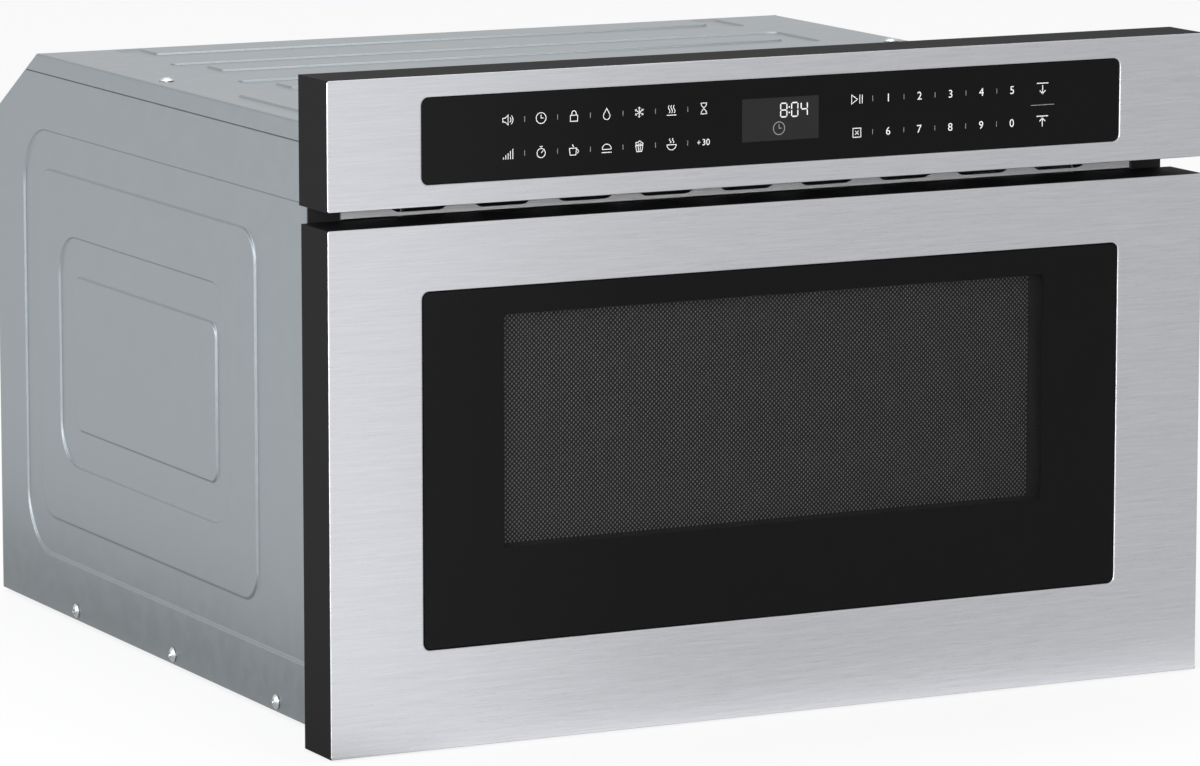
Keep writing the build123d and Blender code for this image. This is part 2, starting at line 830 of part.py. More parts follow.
with BuildPart() as exhaust_duct_walls:
    for side in (-1, 1):
        block(
            on_side(side, duct_half - duct_sheet, duct_half),
            (duct_front, duct_rear),
            (ceiling_top, duct_top - duct_sheet),
        )
    block(
        both(duct_half - duct_sheet - wall_gap),
        (duct_rear - duct_sheet, duct_rear),
        (ceiling_top, duct_top - duct_sheet),
    )
exhaust_duct_walls.part.label = "exhaust_duct_walls"
export_step(exhaust_duct_walls.part, "parts/exhaust_duct_walls.step")

# ================================================================ microwave feed
waveguide_rear = chamfer_y(waveguide_top, sheet) - 3.0
magnetron_y = waveguide_rear - 38.0
shaft_reach = 8.0  # shafts run this far into their motors
shaft_hole = shaft_radius + shaft_play

antenna_hole = 12.0
with BuildPart() as waveguide:
    block(both(waveguide_half), (stirrer_y - waveguide_half, waveguide_rear), (ceiling_top, waveguide_top))
    block(
        both(waveguide_half - waveguide_sheet),
        (stirrer_y - waveguide_half + waveguide_sheet, waveguide_rear - waveguide_sheet),
        (ceiling_top + waveguide_sheet, waveguide_top - waveguide_sheet),
        Mode.SUBTRACT,
    )
    with Locations((0, stirrer_y, ceiling_top)):
        Cylinder(feed_radius, 4 * waveguide_sheet, mode=Mode.SUBTRACT)
    with Locations((0, magnetron_y, ceiling_top)):
        Cylinder(antenna_hole, 4 * waveguide_sheet, mode=Mode.SUBTRACT)
    with Locations((0, stirrer_y, waveguide_top)):
        Cylinder(shaft_radius + 1.0, 4 * waveguide_sheet, mode=Mode.SUBTRACT)
waveguide.part.label = "waveguide"
export_step(waveguide.part, "parts/waveguide.step")

motor_flange_radius = 24.0
motor_flange_sheet = 2.0
motor_body_radius = 23.0
motor_body_height = 13.0
motor_ear_span = 58.0
motor_ear_width = 9.0
with BuildPart() as stirrer_motor:
    with BuildSketch(Plane.XY.offset(waveguide_top)):
        with Locations((0, stirrer_y)):
            Circle(motor_flange_radius)
            SlotCenterToCenter(motor_ear_span, motor_ear_width)
    extrude(amount=motor_flange_sheet)
    with BuildSketch(Plane.XY.offset(waveguide_top + motor_flange_sheet)):
        with Locations((0, stirrer_y)):
            Circle(motor_body_radius)
    extrude(amount=motor_body_height)
    with Locations((0, stirrer_y, waveguide_top + shaft_reach / 2)):
        Cylinder(shaft_hole, shaft_reach + 2.0, mode=Mode.SUBTRACT)
stirrer_motor.part.label = "stirrer_motor"
export_step(stirrer_motor.part, "parts/stirrer_motor.step")

# stirrer: a four-bladed sheet star on the motor's shaft, below the feed opening
stirrer_z = cavity_top - 12.0
stirrer_hub = 16.0
stirrer_blade_width = 26.0
with BuildPart() as stirrer:
    with BuildSketch(Plane.XY.offset(stirrer_z)):
        with Locations((0, stirrer_y)):
            Circle(stirrer_hub)
            with PolarLocations(0, 4):
                with Locations((stirrer_radius / 2, 0)):
                    SlotOverall(stirrer_radius, stirrer_blade_width)
    extrude(amount=sheet)
    with BuildSketch(Plane.XY.offset(stirrer_z)):
        with Locations((0, stirrer_y)):
            Circle(shaft_radius)
    extrude(amount=waveguide_top + shaft_reach - stirrer_z)
stirrer.part.label = "stirrer"
export_step(stirrer.part, "parts/stirrer.step")

cover_corner = 8.0
cover_wall = 7.0
cover_sheet = 1.5
with BuildPart() as stirrer_cover:
    with BuildSketch(Plane.XY.offset(cavity_top - stirrer_cover_depth)):
        with Locations((0, stirrer_y)):
            Circle(stirrer_cover_radius)
    extrude(amount=stirrer_cover_depth)
    fillet(edges().group_by(Axis.Z)[0], cover_corner)
    with BuildSketch(Plane.XY.offset(cavity_top - stirrer_cover_depth + cover_sheet)):
        with Locations((0, stirrer_y)):
            Circle(stirrer_cover_radius - cover_wall)
    extrude(amount=stirrer_cover_depth, mode=Mode.SUBTRACT)
stirrer_cover.part.label = "stirrer_cover"
export_step(stirrer_cover.part, "parts/stirrer_cover.step")

# magnetron: yoke, anode with its cooling fins, filter box below, and the antenna up into the waveguide
magnetron_half = 40.0
magnetron_depth = 31.0
magnetron_height = 78.0
yoke_sheet = 1.5
yoke_low = ceiling_top - magnetron_height
filter_half = 33.0
filter_depth = 27.0
filter_height = 22.0
anode_radius = 19.0
antenna_radius = 8.0
antenna_length = 20.0
fin_inset = 2.5
fin_start = 13.0
fin_pitch = 10.0
fin_sheet = 1.0
fin_count = 6
with BuildPart() as magnetron:
    block(
        both(magnetron_half),
        (magnetron_y - magnetron_depth, magnetron_y + magnetron_depth),
        (yoke_low, ceiling_top),
    )
    block(
        both(magnetron_half),
        (magnetron_y - magnetron_depth + yoke_sheet, magnetron_y + magnetron_depth - yoke_sheet),
        (yoke_low + yoke_sheet, ceiling_top - yoke_sheet),
        Mode.SUBTRACT,
    )
    block(
        both(filter_half),
        (magnetron_y - filter_depth, magnetron_y + filter_depth),
        (yoke_low - filter_height, yoke_low),
    )
    with BuildSketch(Plane.XY.offset(yoke_low + yoke_sheet)):
        with Locations((0, magnetron_y)):
            Circle(anode_radius)
    extrude(amount=magnetron_height - 2 * yoke_sheet)
    with BuildSketch(Plane.XY.offset(ceiling_top)):
        with Locations((0, magnetron_y)):
            Circle(antenna_radius)
    extrude(amount=antenna_length)
    for fin in range(fin_count):
        fin_low = yoke_low + fin_start + fin_pitch * fin
        block(
            both(magnetron_half - fin_inset),
            (magnetron_y - magnetron_depth + yoke_sheet, magnetron_y + magnetron_depth - yoke_sheet),
            (fin_low, fin_low + fin_sheet),
        )
magnetron.part.label = "magnetron"
export_step(magnetron.part, "parts/magnetron.step")

# ================================================================ cooling fan, blowing across the magnetron
fan_x = 62.0
fan_z = yoke_low + magnetron_height / 2
fan_bore = 43.0
fan_tip = 41.5
fan_hub = 12.0
fan_half = 47.0
ring_depth = 12.0
ring_wall = 2.0
shroud_sheet = 2.0
shroud_corner = 5.0
arm_reach = 6.0  # half height of the motor's carrying arms
foot_half = 30.0
foot_length = 16.0
foot_lap = 5.0
fan_motor_x = fan_x + 12.0
fan_motor_length = 26.0
fan_motor_half = 21.0
with BuildPart() as fan_shroud:
    with BuildSketch(upright(fan_x)):
        with Locations((magnetron_y, fan_z)):
            RectangleRounded(2 * fan_half, 2 * fan_half, shroud_corner)
            Circle(fan_bore, mode=Mode.SUBTRACT)
    extrude(amount=shroud_sheet)
    with BuildSketch(upright(fan_x)):
        with Locations((magnetron_y, fan_z)):
            Circle(fan_bore + ring_wall)
            Circle(fan_bore, mode=Mode.SUBTRACT)
    extrude(amount=-ring_depth)
    for end in (-1, 1):
        post = sorted((magnetron_y + end * fan_bore, magnetron_y + end * fan_half))
        arm = sorted((magnetron_y + end * fan_motor_half, magnetron_y + end * fan_half))
        block((fan_x + shroud_sheet, fan_motor_x + shroud_sheet), post, (fan_z - arm_reach, fan_z + arm_reach))
        block((fan_motor_x, fan_motor_x + shroud_sheet), arm, (fan_z - arm_reach, fan_z + arm_reach))
    block(
        (fan_x, fan_x + shroud_sheet),
        (bulkhead_y, magnetron_y - fan_half + foot_lap),
        (fan_z - foot_half, fan_z + foot_half),
    )
    block(
        (fan_x, fan_x + foot_length),
        (bulkhead_y, bulkhead_y + shroud_sheet),
        (fan_z - foot_half, fan_z + foot_half),
    )
fan_shroud.part.label = "fan_shroud"
export_step(fan_shroud.part, "parts/fan_shroud.step")

fan_core_height = 50.0
fan_coil_half = 18.0
fan_coil_inset = 4.0
with BuildPart() as fan_motor:
    with BuildSketch(upright(fan_motor_x)):
        with Locations((magnetron_y, fan_z)):
            Rectangle(2 * fan_motor_half, fan_core_height)
            Circle(shaft_hole, mode=Mode.SUBTRACT)
    extrude(amount=fan_motor_length)
    block(
        (fan_motor_x + fan_coil_inset, fan_motor_x + fan_motor_length - fan_coil_inset),
        (magnetron_y - fan_coil_half, magnetron_y + fan_coil_half),
        (fan_z - fan_core_height / 2 - 17.0, fan_z - fan_core_height / 2),
    )
fan_motor.part.label = "fan_motor"
export_step(fan_motor.part, "parts/fan_motor.step")

blade_pitch_angle = 32.0
blade_count = 5
blade_width = 15.0
blade_half_sheet = 0.6
hub_start = fan_x - ring_depth + 2.0
hub_length = 10.0
shaft_near = hub_start + 1.0
shaft_end = fan_motor_x + fan_motor_length - 4.0
with BuildPart() as fan_blade:
    with BuildSketch(upright(hub_start)):
        with Locations((magnetron_y, fan_z)):
            Circle(fan_hub)
    extrude(amount=hub_length)
    with BuildSketch(upright(shaft_near)):
        with Locations((magnetron_y, fan_z)):
            Circle(shaft_radius)
    extrude(amount=shaft_end - shaft_near)
    for blade in range(blade_count):
        turn = 360.0 * blade / blade_count
        hub_plane = Plane(
            origin=(hub_start + hub_length / 2, magnetron_y, fan_z),
            x_dir=(0, cos(radians(turn)), sin(radians(turn))),
            z_dir=(1, 0, 0),
        )
        with BuildSketch(hub_plane.rotated((blade_pitch_angle, 0, 0))):
            with Locations(((fan_hub + fan_tip) / 2 - 2.0, 0)):
                Rectangle(fan_tip - fan_hub + 2.0, blade_width)
        extrude(amount=blade_half_sheet, both=True)
fan_blade.part.label = "fan_blade"
export_step(fan_blade.part, "parts/fan_blade.step")

# ================================================================ high-voltage parts on the base pan
transformer_x = 85.0 - body_half
core_half = 45.0
core_depth = 25.0
core_height = 75.0
foot_sheet = 1.5
core_low = base_top + foot_sheet
core_foot = (54.0, 30.0)  # half length and half depth of the foot plate
window_near = 15.0
window_far = 30.0
window_bottom = 15.0  # above the core's underside
window_top = 60.0
with BuildPart() as transformer_core:
    block(
        (transformer_x - core_foot[0], transformer_x + core_foot[0]),
        (power_y - core_foot[1], power_y + core_foot[1]),
        (base_top, core_low),
    )
    block(
        (transformer_x - core_half, transformer_x + core_half),
        (power_y - core_depth, power_y + core_depth),
        (core_low, core_low + core_height),
    )
    for side in (-1, 1):
        block(
            sorted((transformer_x + side * window_near, transformer_x + side * window_far)),
            (power_y - core_depth, power_y + core_depth),
            (core_low + window_bottom, core_low + window_top),
            Mode.SUBTRACT,
        )
transformer_core.part.label = "transformer_core"
export_step(transformer_core.part, "parts/transformer_core.step")

winding_overhang = 12.0
winding_corner = 11.0
winding_play = 0.6
winding_heights = ((window_bottom, 36.0), (38.0, window_top - 0.5))
with BuildPart() as transformer_windings:
    for low, high in winding_heights:
        with BuildSketch(Plane.XY.offset(core_low + low)):
            with Locations((transformer_x, power_y)):
                RectangleRounded(
                    2 * window_far - winding_play, 2 * (core_depth + winding_overhang), winding_corner
                )
                Rectangle(2 * window_near + 0.4, 2 * core_depth + 0.4, mode=Mode.SUBTRACT)
        extrude(amount=high - low)
transformer_windings.part.label = "transformer_windings"
export_step(transformer_windings.part, "parts/transformer_windings.step")

capacitor_x = transformer_x + core_half + 42.0
can_length = 54.0
can_width = 32.0
can_height = 90.0
terminal_pitch = 20.0
terminal_radius = 4.0
terminal_height = 9.0
band_low = base_top + 40.0
band_height = 14.0
band_play = 0.4
band_sheet = 1.5
strap_near = capacitor_x + can_length / 2 + band_play / 2
strap_half = 7.0
strap_foot = 14.8
with BuildPart() as hv_capacitor:
    with BuildSketch(Plane.XY.offset(base_top)):
        with Locations((capacitor_x, power_y)):
            SlotOverall(can_length, can_width)
    extrude(amount=can_height)
    with BuildSketch(Plane.XY.offset(base_top + can_height)):
        with Locations((capacitor_x, power_y)):
            with GridLocations(terminal_pitch, 1.0, 2, 1):
                Circle(terminal_radius)
    extrude(amount=terminal_height)
    with BuildSketch(Plane.XY.offset(band_low)):
        with Locations((capacitor_x, power_y)):
            SlotOverall(can_length + band_play + 2 * band_sheet, can_width + band_play + 2 * band_sheet)
            SlotOverall(can_length + band_play, can_width + band_play, mode=Mode.SUBTRACT)
    extrude(amount=band_height)
    block(
        (strap_near, strap_near + band_sheet),
        (power_y - strap_half, power_y + strap_half),
        (base_top, band_low + band_height),
    )
    block(
        (strap_near, strap_near + strap_foot),
        (power_y - strap_half, power_y + strap_half),
        (base_top, base_top + band_sheet),
    )
hv_capacitor.part.label = "hv_capacitor"
export_step(hv_capacitor.part, "parts/hv_capacitor.step")

# power board beside the cavity, on pegs
board_gap = 6.0  # pegs' length
board_x = cavity_half + board_gap
board_y = back(130.0)
board_z = slide_z + slide_half + 14.0
board_length = 160.0
board_height = min(110.0, cavity_top - board_z - 6.0)
board_middle = board_z + board_height / 2
peg_inset = 7.0
peg_radius = 3.0
part_height = 16.0
relay = (28.0, 12.0)
relay_y = board_y + 34.0
coil_block = (38.0, 32.0)
coil_y = board_y + 92.0
can_radius = 8.0
can_y = board_y + 138.0
with BuildPart() as power_board:
    block(
        (-board_x - board_sheet, -board_x),
        (board_y, board_y + board_length),
        (board_z, board_z + board_height),
    )
    with BuildSketch(upright(-board_x)):
        with Locations((board_y + board_length / 2, board_middle)):
            with GridLocations(board_length - 2 * peg_inset, board_height - 2 * peg_inset, 2, 2):
                Circle(peg_radius)
    extrude(amount=board_gap)
    with BuildSketch(upright(-board_x - board_sheet)):
        with Locations((relay_y, board_middle)):
            with GridLocations(1.0, 2 * relay[1], 1, 3):
                Rectangle(*relay)
        with Locations((coil_y, board_middle)):
            Rectangle(*coil_block)
        with Locations((can_y, board_middle)):
            with GridLocations(1.0, 30.0, 1, 2):
                Circle(can_radius)
    extrude(amount=-part_height)
power_board.part.label = "power_board"
export_step(power_board.part, "parts/power_board.step")

# ================================================================ slides: outer, middle and inner members each side
def channel(side, near, far, half, web_outside):
    """C-section slide member along Y between two distances from the middle plane."""
    ends = (slide_front, slide_rear)
    hollow = (near, far - slide_sheet) if web_outside else (near + slide_sheet, far)
    inside = half - slide_sheet
    block(on_side(side, near, far), ends, (slide_z - half, slide_z + half))
    block(on_side(side, *hollow), ends, (slide_z - inside, slide_z + inside), Mode.SUBTRACT)


leg_gap = 18.0  # legs of the supports clear of the side screws
support_rise = 5.0  # support above the outer member
leg_places = (
    (slide_front + 10.0, side_screw_ys[0] - leg_gap),
    (side_screw_ys[0] + leg_gap, side_screw_ys[1] - leg_gap),
    (side_screw_ys[1] + leg_gap, side_screw_ys[2] - leg_gap),
)
support_low = slide_z - 52.0
foot_width = 18.6

with BuildPart() as slide_supports:
    for side in (-1, 1):
        block(
            on_side(side, slide_outside, slide_outside + support_sheet),
            (slide_front, slide_rear),
            (support_low, slide_z + slide_half + support_rise),
        )
        for leg in leg_places:
            block(on_side(side, slide_outside, slide_outside + support_sheet), leg, (base_top, support_low))
            block(
                on_side(side, slide_outside - foot_width, slide_outside + support_sheet),
                leg,
                (base_top, base_top + support_sheet),
            )
slide_supports.part.label = "slide_supports"
export_step(slide_supports.part, "parts/slide_supports.step")

with BuildPart() as slide_outer_members:
    for side in (-1, 1):
        channel(side, slide_outside - outer_reach, slide_outside, slide_half, True)
slide_outer_members.part.label = "slide_outer_members"
export_step(slide_outer_members.part, "parts/slide_outer_members.step")

# the middle members carry the balls: outer rows in the rear half, inner rows in the front half
ball_end = 15.0
row_length = (balls_per_row - 1) * ball_pitch
outer_row_y = slide_rear - ball_end - row_length / 2
inner_row_y = slide_front + ball_end + row_length / 2
outer_row_z = middle_half + ball_radius + ball_play
inner_row_z = inner_half + ball_radius + ball_play

for side, hand in ((-1, "left"), (1, "right")):
    ball_rows = (
        (side * (middle_outside - 3.4), outer_row_y, outer_row_z),
        (side * (middle_outside - 4.7), inner_row_y, inner_row_z),
    )
    with BuildPart() as slide_middle:
        channel(side, middle_outside - middle_reach, middle_outside, middle_half, True)
        for row_x, row_y, row_z in ball_rows:
            with Locations(
                *[
                    (row_x, row_y + (ball - (balls_per_row - 1) / 2) * ball_pitch, slide_z + end * row_z)
                    for ball in range(balls_per_row)
                    for end in (-1, 1)
                ]
            ):
                Sphere(ball_radius)
    slide_middle.part.label = f"slide_middle_{hand}"
    export_step(slide_middle.part, f"parts/slide_middle_{hand}.step")

with BuildPart() as slide_inner_members:
    for side in (-1, 1):
        channel(side, inner_face, inner_face + inner_reach, inner_half, False)
slide_inner_members.part.label = "slide_inner_members"
export_step(slide_inner_members.part, "parts/slide_inner_members.step")

# drawer arms: angles that carry the drawer front on the inner members
arm_flange = 12.0
with BuildPart() as drawer_arms:
    for side in (-1, 1):
        block(
            on_side(side, inner_face - arm_sheet, inner_face),
            (drawer_back, slide_rear),
            (slide_z - arm_half, slide_z + arm_half),
        )
        block(
            on_side(side, inner_face, inner_face + arm_flange),
            (drawer_back, drawer_back + arm_sheet),
            (slide_z - arm_half, slide_z + arm_half),
        )
drawer_arms.part.label = "drawer_arms"
export_step(drawer_arms.part, "parts/drawer_arms.step")

# ================================================================ drawer interlock
interlock_z = drawer_top - 66.0
switch_front = back(76.0)
switch_length = 28.0
switch_near = cavity_half + 20.5
switch_far = switch_near + 10.0
switch_half = 8.0
plunger_x = (switch_near + switch_far) / 2
plunger_radius = 1.5
plunger_out = 2.0
plunger_travel = 1.5
plunger_length = 10.0
plunger_well = plunger_length + plunger_travel + 1.0
terminal = (0.8, 12.0, 6.0)
bracket_rise = 5.0  # switch bracket above and below the switch
actuator_gap = 0.3  # closed drawer's actuator to the plunger

with BuildPart() as interlock_switches:
    for side in (-1, 1):
        with BuildSketch(facing(switch_front)):
            with Locations((side * plunger_x, interlock_z)):
                Rectangle(switch_far - switch_near, 2 * switch_half)
                Circle(plunger_radius + shaft_play, mode=Mode.SUBTRACT)
        extrude(amount=-plunger_well)
        with BuildSketch(facing(switch_front + plunger_well)):
            with Locations((side * plunger_x, interlock_z)):
                Rectangle(switch_far - switch_near, 2 * switch_half)
        extrude(amount=-(switch_length - plunger_well))
        with Locations((side * plunger_x, switch_front + switch_length, interlock_z)):
            Box(*terminal)
        block(
            on_side(side, cavity_half, switch_near),
            (switch_front, switch_front + switch_length),
            (interlock_z - switch_half - bracket_rise, interlock_z + switch_half + bracket_rise),
        )
interlock_switches.part.label = "interlock_switches"
export_step(interlock_switches.part, "parts/interlock_switches.step")

for side, hand in ((-1, "left"), (1, "right")):
    with BuildPart() as switch_plunger:
        with BuildSketch(facing(switch_front - plunger_out)):
            with Locations((side * plunger_x, interlock_z)):
                Circle(plunger_radius)
        extrude(amount=-plunger_length)
        fillet(edges().group_by(Axis.Y)[0], 0.5)
    switch_plunger.part.label = f"switch_plunger_{hand}"
    export_step(switch_plunger.part, f"parts/switch_plunger_{hand}.step")

actuator_half = 3.0
actuator_reach = 2.5
actuator_foot = (5.0, 7.0)  # its foot to the inside and the outside of the plunger
actuator_foot_half = 12.0
actuator_foot_sheet = 2.0
with BuildPart() as interlock_actuators:
    for side in (-1, 1):
        block(
            on_side(side, plunger_x - actuator_reach, plunger_x + actuator_reach),
            (drawer_back, switch_front - plunger_out - actuator_gap),
            (interlock_z - actuator_half, interlock_z + actuator_half),
        )
        block(
            on_side(side, plunger_x - actuator_foot[0], plunger_x + actuator_foot[1]),
            (drawer_back, drawer_back + actuator_foot_sheet),
            (interlock_z - actuator_foot_half, interlock_z + actuator_foot_half),
        )
interlock_actuators.part.label = "interlock_actuators"
export_step(interlock_actuators.part, "parts/interlock_actuators.step")

# ================================================================ drive: gearmotor, pinion, and a rack under the bin
tooth_pitch = pi * gear_module
tooth_width = tooth_pitch / 2 - tooth_backlash / 2
outer_radius = pitch_radius + gear_module
root_radius = pitch_radius - 1.25 * gear_module
base_radius = pitch_radius * cos(radians(pressure_angle))
gear_near = rack_x - gear_width / 2
bracket_sheet = 2.0
bracket_near = gear_near - 6.0
shaft_start = bracket_near - 14.0
gearbox_length = 26.0
motor_can_radius = 15.5
hub_radius = 6.0
hub_reach = 2.0
bracket_half = 20.0
bracket_foot = 26.0
rack_tab_half = 15.0
rack_tab_rise = 1.5


def involute(angle):
    """Involute function of a pressure angle."""
    return tan(angle) - angle


def flank(radius, hand):
    """Point on a tooth's involute flank, for a tooth that points along the sketch's X axis."""
    half_angle = tooth_width / (2 * pitch_radius) + involute(radians(pressure_angle))
    half_angle -= involute(acos(base_radius / radius))
    return (radius * cos(half_angle), hand * radius * sin(half_angle))


middle_radius = (base_radius + outer_radius) / 2
root_half = flank(base_radius, 1)[1]
root_x = sqrt(root_radius**2 - root_half**2)

with BuildPart() as drive_pinion:
    with BuildSketch(upright(gear_near)):
        with Locations((pinion_y, pinion_z)):
            Circle(root_radius)
    extrude(amount=gear_width)
    for tooth in range(pinion_teeth):
        turn = 360.0 * tooth / pinion_teeth
        tooth_plane = Plane(
            origin=(gear_near, pinion_y, pinion_z),
            x_dir=(0, cos(radians(turn)), sin(radians(turn))),
            z_dir=(1, 0, 0),
        )
        with BuildSketch(tooth_plane):
            with BuildLine():
                Line((root_x - 1.0, -root_half), flank(base_radius, -1))
                ThreePointArc(flank(base_radius, -1), flank(middle_radius, -1), flank(outer_radius, -1))
                ThreePointArc(flank(outer_radius, -1), (outer_radius, 0), flank(outer_radius, 1))
                ThreePointArc(flank(outer_radius, 1), flank(middle_radius, 1), flank(base_radius, 1))
                Line(flank(base_radius, 1), (root_x - 1.0, root_half))
                Line((root_x - 1.0, root_half), (root_x - 1.0, -root_half))
            make_face()
        extrude(amount=gear_width)
    with BuildSketch(upright(shaft_start)):
        with Locations((pinion_y, pinion_z)):
            Circle(shaft_radius)
    extrude(amount=gear_near + gear_width + hub_reach - shaft_start)
    with BuildSketch(upright(gear_near - hub_reach)):
        with Locations((pinion_y, pinion_z)):
            Circle(hub_radius)
    extrude(amount=hub_reach)
drive_pinion.part.label = "drive_pinion"
export_step(drive_pinion.part, "parts/drive_pinion.step")

with BuildPart() as drive_motor:
    with BuildSketch(upright(bracket_near)):
        with Locations((pinion_y, pinion_z)):
            Circle(motor_radius)
    extrude(amount=-gearbox_length)
    with BuildSketch(upright(bracket_near - gearbox_length)):
        with Locations((pinion_y, pinion_z)):
            Circle(motor_can_radius)
    extrude(amount=-(motor_length - gearbox_length))
    with BuildSketch(upright(bracket_near)):
        with Locations((pinion_y, pinion_z)):
            Circle(shaft_radius + shaft_play)
    extrude(amount=-(bracket_near - shaft_start + 1.0), mode=Mode.SUBTRACT)
drive_motor.part.label = "drive_motor"
export_step(drive_motor.part, "parts/drive_motor.step")

with BuildPart() as motor_bracket:
    block(
        (bracket_near, bracket_near + bracket_sheet),
        (pinion_y - bracket_half, pinion_y + bracket_half),
        (base_top, pinion_z + motor_radius - 5.0),
    )
    block(
        (bracket_near, bracket_near + bracket_foot),
        (pinion_y - bracket_half, pinion_y + bracket_half),
        (base_top, base_top + bracket_sheet),
    )
    with BuildSketch(upright(bracket_near)):
        with Locations((pinion_y, pinion_z)):
            Circle(shaft_radius + 2.0)
    extrude(amount=bracket_sheet, mode=Mode.SUBTRACT)
motor_bracket.part.label = "motor_bracket"
export_step(motor_bracket.part, "parts/motor_bracket.step")

rack_rear = pinion_y + travel + 15.0
rack_front = drawer_back + arm_sheet
rack_teeth = int((rack_rear - rack_front) / tooth_pitch) - 1
first_tooth = int((pinion_y - rack_front) / tooth_pitch - 0.5)
tooth_root_width = tooth_width + 2 * 1.25 * gear_module * tan(radians(pressure_angle))
tooth_height = 2.25 * gear_module

with BuildPart() as drive_rack:
    block((gear_near, gear_near + gear_width), (rack_front, rack_rear), (rack_root, rack_root + rack_body))
    with BuildSketch(upright(gear_near)):
        with Locations(
            *[
                (pinion_y + (tooth + 0.5 - first_tooth) * tooth_pitch, rack_root - tooth_height / 2)
                for tooth in range(rack_teeth)
            ]
        ):
            Trapezoid(tooth_root_width, tooth_height, 90.0 - pressure_angle, rotation=180.0)
    extrude(amount=gear_width)
    block(
        (rack_x - rack_tab_half, rack_x + rack_tab_half),
        (drawer_back, rack_front),
        (rack_root - rack_tab_half, rack_root + rack_body + rack_tab_rise),
    )
drive_rack.part.label = "drive_rack"
export_step(drive_rack.part, "parts/drive_rack.step")

# ================================================================ drawer
plate_front = drawer_back - door_plate_sheet
choke_front = screen_y + screen_sheet
choke_outer = choke_half + choke_width
choke_outer_low = choke_low - choke_width
choke_outer_high = choke_high + choke_width
plate_screw_inset = 17.0
plate_screw_x = half_width - plate_screw_inset
plate_screw_low = front_bottom + plate_screw_inset
plate_screw_end = 56.0  # lowest and highest side screws from the front's edges
plate_screw_pitch = (drawer_top - front_bottom - 2 * plate_screw_end) / 3
plate_screw_places = [
    (side * plate_screw_x, front_bottom + plate_screw_end + row * plate_screw_pitch)
    for side in (-1, 1)
    for row in range(4)
] + [(x, plate_screw_low) for x in (-210.0, -70.0, 70.0, 210.0)]

with BuildPart() as drawer_frame:
    moulded_frame(front_bottom, drawer_top, drawer_front_depth, window_low, window_high)
    with BuildSketch(facing(face_back)):
        with Locations(*plate_screw_places):
            Circle(boss_radius)
    extrude(amount=-(plate_front - face_back))
    with BuildSketch(facing(plate_front)):
        with Locations(*plate_screw_places):
            Circle(screw_radius + screw_play)
    extrude(amount=screw_length, mode=Mode.SUBTRACT)
drawer_frame.part.label = "drawer_frame"
export_step(drawer_frame.part, "parts/drawer_frame.step")

with BuildPart() as drawer_skin:
    with BuildSketch(facing(front_y)):
        steel_skin(front_bottom, drawer_top, window_low, window_high)
    extrude(amount=-skin_sheet)
drawer_skin.part.label = "drawer_skin"
export_step(drawer_skin.part, "parts/drawer_skin.step")

with BuildPart() as window_glass:
    with BuildSketch(facing(front_y + glass_recess)):
        rect(both(glass_half), (window_low, window_high), glass_corner)
    extrude(amount=-glass_sheet)
window_glass.part.label = "window_glass"
export_step(window_glass.part, "parts/window_glass.step")

with BuildPart() as perforated_screen:
    with BuildSketch(facing(screen_y)):
        rect(both(choke_outer - 1.0), (choke_outer_low + 1.0, choke_outer_high - 1.0), 3.0)
    extrude(amount=-screen_sheet)
perforated_screen.part.label = "perforated_screen"
export_step(perforated_screen.part, "parts/perforated_screen.step")

with BuildPart() as choke_ring:
    block(both(choke_outer), (choke_front, drawer_back), (choke_outer_low, choke_outer_high))
    block(
        both(choke_outer - choke_sheet),
        (choke_front + choke_sheet, drawer_back),
        (choke_outer_low + choke_sheet, choke_outer_high - choke_sheet),
        Mode.SUBTRACT,
    )
    block(
        both(choke_half + choke_sheet),
        (choke_front + choke_sheet, drawer_back),
        (choke_low - choke_sheet, choke_high + choke_sheet),
    )
    block(both(choke_half), (choke_front, drawer_back), (choke_low, choke_high), Mode.SUBTRACT)
choke_ring.part.label = "choke_ring"
export_step(choke_ring.part, "parts/choke_ring.step")

with BuildPart() as choke_cover:
    with BuildSketch(facing(drawer_back)):
        rect(both(choke_outer + 1.0), (choke_outer_low - 1.0, choke_outer_high + 1.0), 4.0)
        rect(both(choke_half + 0.2), (choke_low - 0.2, choke_high + 0.2), mode=Mode.SUBTRACT)
    extrude(amount=-choke_cover_sheet)
choke_cover.part.label = "choke_cover"
export_step(choke_cover.part, "parts/choke_cover.step")

with BuildPart() as inner_glass:
    block(both(choke_half - 0.3), (inner_glass_y, bin_front), (choke_low + 0.3, choke_high - 0.3))
inner_glass.part.label = "inner_glass"
export_step(inner_glass.part, "parts/inner_glass.step")

plate_play = 0.3
with BuildPart() as door_back_plate:
    with BuildSketch(facing(plate_front)):
        rect(
            both(half_width - frame_wall - plate_play),
            (front_bottom + frame_wall + plate_play, drawer_top - frame_wall - plate_play),
        )
        rect(both(choke_outer + 0.1), (choke_outer_low - 0.1, choke_outer_high + 0.1), mode=Mode.SUBTRACT)
        with Locations(*plate_screw_places):
            Circle(screw_radius + screw_play, mode=Mode.SUBTRACT)
    extrude(amount=-door_plate_sheet)
door_back_plate.part.label = "door_back_plate"
export_step(door_back_plate.part, "parts/door_back_plate.step")

with BuildPart() as door_plate_screws:
    with Locations(*[Plane(origin=(x, drawer_back, z), z_dir=(0, 1, 0)) for x, z in plate_screw_places]):
        add(screw.part)
door_plate_screws.part.label = "door_plate_screws"
export_step(door_plate_screws.part, "parts/door_plate_screws.step")

